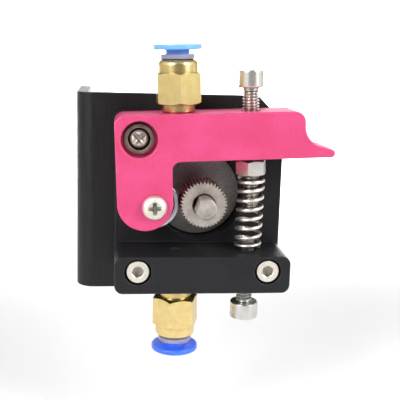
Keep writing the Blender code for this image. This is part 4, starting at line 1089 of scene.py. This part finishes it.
def show_fitting(prefix, home, seat, facing, turn):
    hex_high = COLLAR_HEIGHT + HEX_HEIGHT
    cap_high = hex_high + CAP_HEIGHT
    ring_high = cap_high + RING_HEIGHT
    place = at(home, seat, facing)
    shoulder = arc(CAP_RADIUS - CAP_SHOULDER, cap_high - CAP_SHOULDER, CAP_SHOULDER, 90, 0, 16)
    root = THREAD_RADIUS - 0.1
    foot = [(COLLAR_RADIUS, hex_high - 0.5), (COLLAR_RADIUS, 0), (root, 0), (root, -1)]
    shell = [(0, cap_high), *shoulder, (CAP_RADIUS, hex_high - 0.5), *softened(foot, 0.25), (0, -1)]
    mesh = lathe(shell)
    mesh = join(mesh, thread(THREAD_RADIUS, 1.0, THREAD_LENGTH - 0.3), shift(0, 0, -0.3))
    hexagon = chamfered_hex(HEX_ACROSS_FLATS, COLLAR_HEIGHT, hex_high)
    mesh = join(mesh, hexagon, Matrix.Rotation(turn, 4, "Z"))
    bores = ((POCKET_RADIUS, POCKET_FLOOR), (TUBE_RADIUS + 0.06, TUBE_STOP))
    for radius, floor in (*bores, (THROUGH_BORE, -THREAD_LENGTH - 1)):
        mesh = drill(mesh, shift(0, 0, cap_high), radius, cap_high - floor, 0.0)
    show(f"{prefix}_fitting_body", mesh, place)
    ring = [
        (RING_RADIUS, ring_high),
        (RING_RADIUS, cap_high + 0.05),
        (POCKET_RADIUS - 0.1, cap_high + 0.05),
        (POCKET_RADIUS - 0.1, RING_FOOT),
        (NECK_RADIUS + 0.1, RING_FOOT),
        (NECK_RADIUS + 0.1, ring_high),
    ]
    show(f"{prefix}_fitting_ring", lathe(softened_ring(ring, 0.2)), place)
    flange_foot = ring_high + NECK_HEIGHT
    flange_top = flange_foot + COLLET_HEIGHT
    collet = [
        (COLLET_RADIUS, flange_top),
        (COLLET_RADIUS, flange_foot),
        (NECK_RADIUS, flange_foot),
        (NECK_RADIUS, COLLET_FOOT),
        (TUBE_RADIUS, COLLET_FOOT),
        (TUBE_RADIUS, flange_top),
    ]
    show(f"{prefix}_collet", lathe(softened_ring(collet, 0.45, 6)), place)


# --- drive gear and shaft ---


def show_gear():
    """Its own Z axis points to the front, from the back of the teeth."""
    samples = 8
    phase = np.arange(TEETH * samples) / samples
    ridge = np.clip(2.1 * np.abs(2 * (phase % 1) - 1) - 0.2, 0, 1)
    angle = 2 * math.pi * phase / TEETH
    hob_z = -PATH_Y + GEAR_FRONT_Y + TOOTHED_LENGTH
    middle = np.linspace(0.6, TOOTHED_LENGTH - 0.5, 26)
    heights = np.concatenate([[0, 0.25], middle, [TOOTHED_LENGTH - 0.2, TOOTHED_LENGTH]])
    loops = []
    for z in heights:
        away = min(abs(z - hob_z), HOB_RADIUS)
        groove = GEAR_RADIUS - HOB_DEPTH + HOB_RADIUS - math.sqrt(HOB_RADIUS**2 - away**2)
        outside = min(GEAR_RADIUS, groove)
        end = min(z, TOOTHED_LENGTH - z)
        outside = min(outside, GEAR_RADIUS - 0.2 + end)
        reach = outside - (GEAR_RADIUS - GEAR_ROOT) * (1 - ridge)
        loops.append([(r * math.cos(a), r * math.sin(a), z) for r, a in zip(reach, angle)])
    mesh = loft(loops)
    back = TOOTHED_LENGTH - GEAR_LENGTH
    hub = lathe(softened([(0, 1.0), (HUB_RADIUS, 1.0), (HUB_RADIUS, back), (0, back)], 0.3))
    mesh = join(mesh, hub)
    mesh = drill(mesh, shift(0, 0, TOOTHED_LENGTH), SHAFT_RADIUS + SHAFT_GAP, GEAR_LENGTH + 1, 0.25, FINE)
    flat = SHAFT_RADIUS - FLAT_DEPTH
    raised = shift(0, 0, -GRUB_Y + GEAR_FRONT_Y + TOOTHED_LENGTH)
    outwards = raised @ Matrix.Rotation(FLAT_ANGLE, 4, "Z") @ Matrix.Rotation(math.pi / 2, 4, "Y")
    mesh = cut(mesh, prism(polygon(COARSE, M3_SHANK), flat - 0.1, HUB_RADIUS + 1), outwards)
    home = at(HOME, (0, GEAR_FRONT_Y + TOOTHED_LENGTH, 0), "front")
    show("drive_gear", mesh, home)
    grub = thread(M3_SHANK - 0.08, M3_PITCH, HUB_RADIUS - 0.2 - flat - 0.1)
    grub = cut(grub, hex_socket(1.5, 1.2))
    metres = outwards.copy()
    metres.translation = metres.translation * MM
    lift = shift(0, 0, (HUB_RADIUS - 0.2) * MM)
    show("gear_grub_screw", grub, home @ metres @ lift)


def show_shaft():
    """Its own Z axis points to the front, from the shaft's front end."""
    length = SHAFT_BACK_Y - SHAFT_END_Y
    profile = [(0, -0.35), (0.55, 0), (SHAFT_RADIUS - 0.4, 0), (SHAFT_RADIUS, -0.4)]
    profile += [(SHAFT_RADIUS, -length), (0, -length)]
    mesh = lathe(profile)
    removed = 2 * SHAFT_RADIUS
    away = SHAFT_RADIUS - FLAT_DEPTH + removed / 2
    turned = Matrix.Rotation(FLAT_ANGLE, 4, "Z") @ shift(away, 0, -FLAT_LENGTH / 2)
    mesh = cut(mesh, box_mesh((removed, 2 * removed, FLAT_LENGTH + 0.02)), turned)
    show("motor_shaft", mesh, at(HOME, (0, SHAFT_END_Y, 0), "front"))


# --- motor ---


def chamfered_square(half, cut_back):
    near = half - cut_back
    corners = ((half, near), (near, half), (-near, half), (-half, near))
    return [*corners, *[(-x, -y) for x, y in corners]]


def bolt_holes(mesh, top, depth, chamfer=0.0):
    for x, z in bolt_places():
        mesh = drill(mesh, shift(x, z, top), M3_HOLE, depth, chamfer)
    return mesh


def show_motor():
    """Each piece's own Z axis points to the front, from its back."""
    square = chamfered_square(MOTOR_HALF, CAP_CORNER)
    top = FRONT_CAP_BACK_Y - MOTOR_FACE_Y
    mesh = plate(square, 0, top, CAP_EDGE)
    boss = lathe(softened([(0, BOSS_HEIGHT), (BOSS_RADIUS, BOSS_HEIGHT), (BOSS_RADIUS, -1), (0, -1)], 0.3))
    mesh = join(mesh, boss, shift(0, 0, top))
    mesh = drill(mesh, shift(0, 0, top + BOSS_HEIGHT), SHAFT_OPENING, 14, 0.4, FINE)
    mesh = bolt_holes(mesh, top, 12, 0.3)
    mesh = drill(mesh, FACING["down"], BEARING_SEAT, FRONT_SEAT_DEPTH, 0.2, FINE)
    show("motor_front_cap", mesh, at(HOME, (0, FRONT_CAP_BACK_Y, 0), "front"))

    length = STATOR_BACK_Y - FRONT_CAP_BACK_Y - STATOR_GAP
    mesh = plate(chamfered_square(MOTOR_HALF, STATOR_CORNER), 0, length, STATOR_EDGE, 1)
    mesh = drill(mesh, shift(0, 0, length), STATOR_BORE, length + 1, 0.0, FINE)
    mesh = bolt_holes(mesh, length, length + 1)
    show("stator_core", mesh, at(HOME, (0, STATOR_BACK_Y, 0), "front"))

    depth = MOTOR_BACK_Y - REAR_CAP_FRONT_Y
    mesh = plate(square, 0, depth, CAP_EDGE)
    for x, z in bolt_places():
        mesh = drill(mesh, shift(x, z, 0) @ FACING["down"], MOTOR_HEAD_POCKET, 2.2, 0.2)
        mesh = drill(mesh, shift(x, z, depth), M3_HOLE, depth + 1, 0.0)
    mesh = drill(mesh, shift(0, 0, depth), BEARING_SEAT, depth - REAR_WALL, 0.2, FINE)
    opening = shift(0, -MOTOR_HALF + 0.1, MOTOR_BACK_Y - PLUG_OPENING_Y)
    mesh = cut(mesh, box_mesh(PLUG_OPENING), opening)
    show("motor_rear_cap", mesh, at(HOME, (0, MOTOR_BACK_Y, 0), "front"))
    size = (M3_HEAD_RADIUS, MOTOR_HEAD_HEIGHT, M3_SHANK, M3_PITCH, MOTOR_SCREW_LENGTH, MOTOR_CROSS)
    for number, (x, z) in enumerate(bolt_places(), 1):
        seat = (x, MOTOR_BACK_Y - MOTOR_HEAD_SEAT, z)
        show(f"motor_screw_{number}", pan_screw(*size), at(HOME, seat, "back"))
    show_connector()


def show_connector():
    """A six-pin socket that opens downwards, with its pins."""
    mesh = box_mesh(PLUG_OUTSIDE)
    mesh = cut(mesh, box_mesh(PLUG_INSIDE), shift(0, 0, -1.2))
    for x in (-4.5, 4.5):
        mesh = cut(mesh, box_mesh(PLUG_NOTCH), shift(x, 3.0, -2.4))
    place = at(HOME, (0, PLUG_Y, -MOTOR_HALF))
    show("motor_connector", mesh, place)
    for number in range(PINS):
        middle = ((number - (PINS - 1) / 2) * PIN_PITCH, 0, -0.2)
        pin = box_mesh(PIN_SIZE, middle)
        finish_piece(f"connector_pin_{number + 1}", pin, MATERIALS["nickel"], "frame", place)


# --- nodes that keep their CAD shape ---


def dress_nodes():
    for name, node in frame["nodes"].items():
        if not node.hide_render:
            node.data.materials.clear()
            node.data.materials.append(MATERIALS[SLOT_OF[name]])


# --- stage ---

CAMERA_PLACE = Vector((0.009031, -0.202546, 0.036902))
CAMERA_YAW = math.radians(6.84757)
CAMERA_PITCH = math.radians(-11.65972)
CAMERA_ROLL = math.radians(1.73610)
CAMERA_LENS = 67.17
FLOOR_DROP = 0.025
FLOOR_REACH = 1.5
SWEEP_START = 0.25
SWEEP_RADIUS = 0.4
SWEEP_STEPS = 12
BACKDROP_HEIGHT = 1.2
WORLD_LOW = 0.10
WORLD_HIGH = 0.55
WORLD_SIDES = 0.7  # added to the left and right
SIDES_START = 0.5
SIDES_FULL = 0.9
LIGHT_SPREAD = math.radians(60)


def make_camera():
    yaw, pitch, roll = CAMERA_YAW, CAMERA_PITCH, CAMERA_ROLL
    ahead = Vector((math.sin(yaw) * math.cos(pitch), math.cos(yaw) * math.cos(pitch), math.sin(pitch)))
    level = Vector((math.cos(yaw), -math.sin(yaw), 0))
    over = level.cross(ahead)
    right = level * math.cos(roll) + over * math.sin(roll)
    up = over * math.cos(roll) - level * math.sin(roll)
    data = bpy.data.cameras.new("camera")
    data.lens = CAMERA_LENS
    data.clip_start = 0.01
    data.clip_end = 20
    camera = bpy.data.objects.new("camera", data)
    bpy.context.scene.collection.objects.link(camera)
    rows = Matrix((right, up, -ahead)).transposed()
    camera.matrix_world = Matrix.Translation(CAMERA_PLACE) @ rows.to_4x4()
    bpy.context.scene.camera = camera


def make_floor():
    """A pale sheet that lies flat and curves up behind the object."""
    low = CAD_BOUNDS[0][2] - FLOOR_DROP
    profile = [(-FLOOR_REACH, low), (SWEEP_START, low)]
    for step in range(1, SWEEP_STEPS + 1):
        a = step / SWEEP_STEPS * math.pi / 2
        profile.append((SWEEP_START + SWEEP_RADIUS * math.sin(a), low + SWEEP_RADIUS * (1 - math.cos(a))))
    profile.append((SWEEP_START + SWEEP_RADIUS, low + BACKDROP_HEIGHT))
    bm = bmesh.new()
    rows = [[bm.verts.new((x, y, z)) for x in (-FLOOR_REACH, FLOOR_REACH)] for y, z in profile]
    for near, far in zip(rows, rows[1:]):
        bm.faces.new((near[0], near[1], far[1], far[0]))
    mesh = bpy.data.meshes.new("floor")
    bm.to_mesh(mesh)
    bm.free()
    mesh.shade_smooth()
    surface = Surface("floor", (0.90, 0.90, 0.90), 0.0, 0.8)
    surface.set("Specular IOR Level", 0.1)
    mesh.materials.append(surface.material)
    floor = bpy.data.objects.new("floor", mesh)
    bpy.context.scene.collection.objects.link(floor)


def soft_light(name, place, aim, size, power):
    """A rectangular area light at one place, aimed at another, both in metres."""
    data = bpy.data.lights.new(name, "AREA")
    data.shape = "RECTANGLE"
    data.size, data.size_y = size
    data.energy = power
    data.spread = LIGHT_SPREAD
    light = bpy.data.objects.new(name, data)
    bpy.context.scene.collection.objects.link(light)
    light.location = place
    light.rotation_euler = (Vector(aim) - Vector(place)).to_track_quat("-Z", "Y").to_euler()


def make_world():
    """A grey room that is paler overhead and at its left and right."""
    world = bpy.data.worlds.new("studio")
    world.use_nodes = True
    tree = world.node_tree
    direction = tree.nodes.new("ShaderNodeTexCoord").outputs["Generated"]
    split = tree.nodes.new("ShaderNodeSeparateXYZ")
    tree.links.new(direction, split.inputs["Vector"])
    sideways = tree.nodes.new("ShaderNodeMath")
    sideways.operation = "ABSOLUTE"
    tree.links.new(split.outputs["X"], sideways.inputs[0])
    total = tree.nodes.new("ShaderNodeMath")
    ramps = (
        (split.outputs["Z"], 0.0, 1.0, WORLD_LOW, WORLD_HIGH),
        (sideways.outputs["Value"], SIDES_START, SIDES_FULL, 0.0, WORLD_SIDES),
    )
    for number, (value, start, end, low, high) in enumerate(ramps):
        ramp = tree.nodes.new("ShaderNodeMapRange")
        ramp.inputs["From Min"].default_value = start
        ramp.inputs["From Max"].default_value = end
        ramp.inputs["To Min"].default_value = low
        ramp.inputs["To Max"].default_value = high
        tree.links.new(value, ramp.inputs["Value"])
        tree.links.new(ramp.outputs["Result"], total.inputs[number])
    background = tree.nodes["Background"]
    background.inputs["Color"].default_value = (1.0, 1.0, 1.0, 1.0)
    tree.links.new(total.outputs["Value"], background.inputs["Strength"])
    bpy.context.scene.world = world


def make_lights():
    middle = tuple((low + high) / 2 for low, high in zip(*CAD_BOUNDS))
    soft_light("left", (-0.36, -0.44, 0.28), middle, (0.22, 0.40), 0.45)
    soft_light("right", (0.48, -0.40, 0.28), middle, (0.22, 0.40), 0.49)
    soft_light("backdrop", (0.03, 0.38, 0.42), (0.03, 0.46, 0.0), (0.9, 0.40), 5.0)
    bpy.context.scene.view_settings.view_transform = "Standard"


show_bracket()
show_base_block()
show_frame_screws()
show_pivot()
show_lever()
show_idler()
show_tension()
show_spring()
show_fitting("upper", LEVER_HOME, (FILAMENT_X, PATH_Y, UPPER_SEAT_Z), "up", UPPER_HEX_TURN)
show_fitting("lower", HOME, (FILAMENT_X, PATH_Y, LOWER_SEAT_Z), "down", LOWER_HEX_TURN)
show_gear()
show_shaft()
show_motor()
dress_nodes()
make_camera()
make_floor()
make_world()
make_lights()
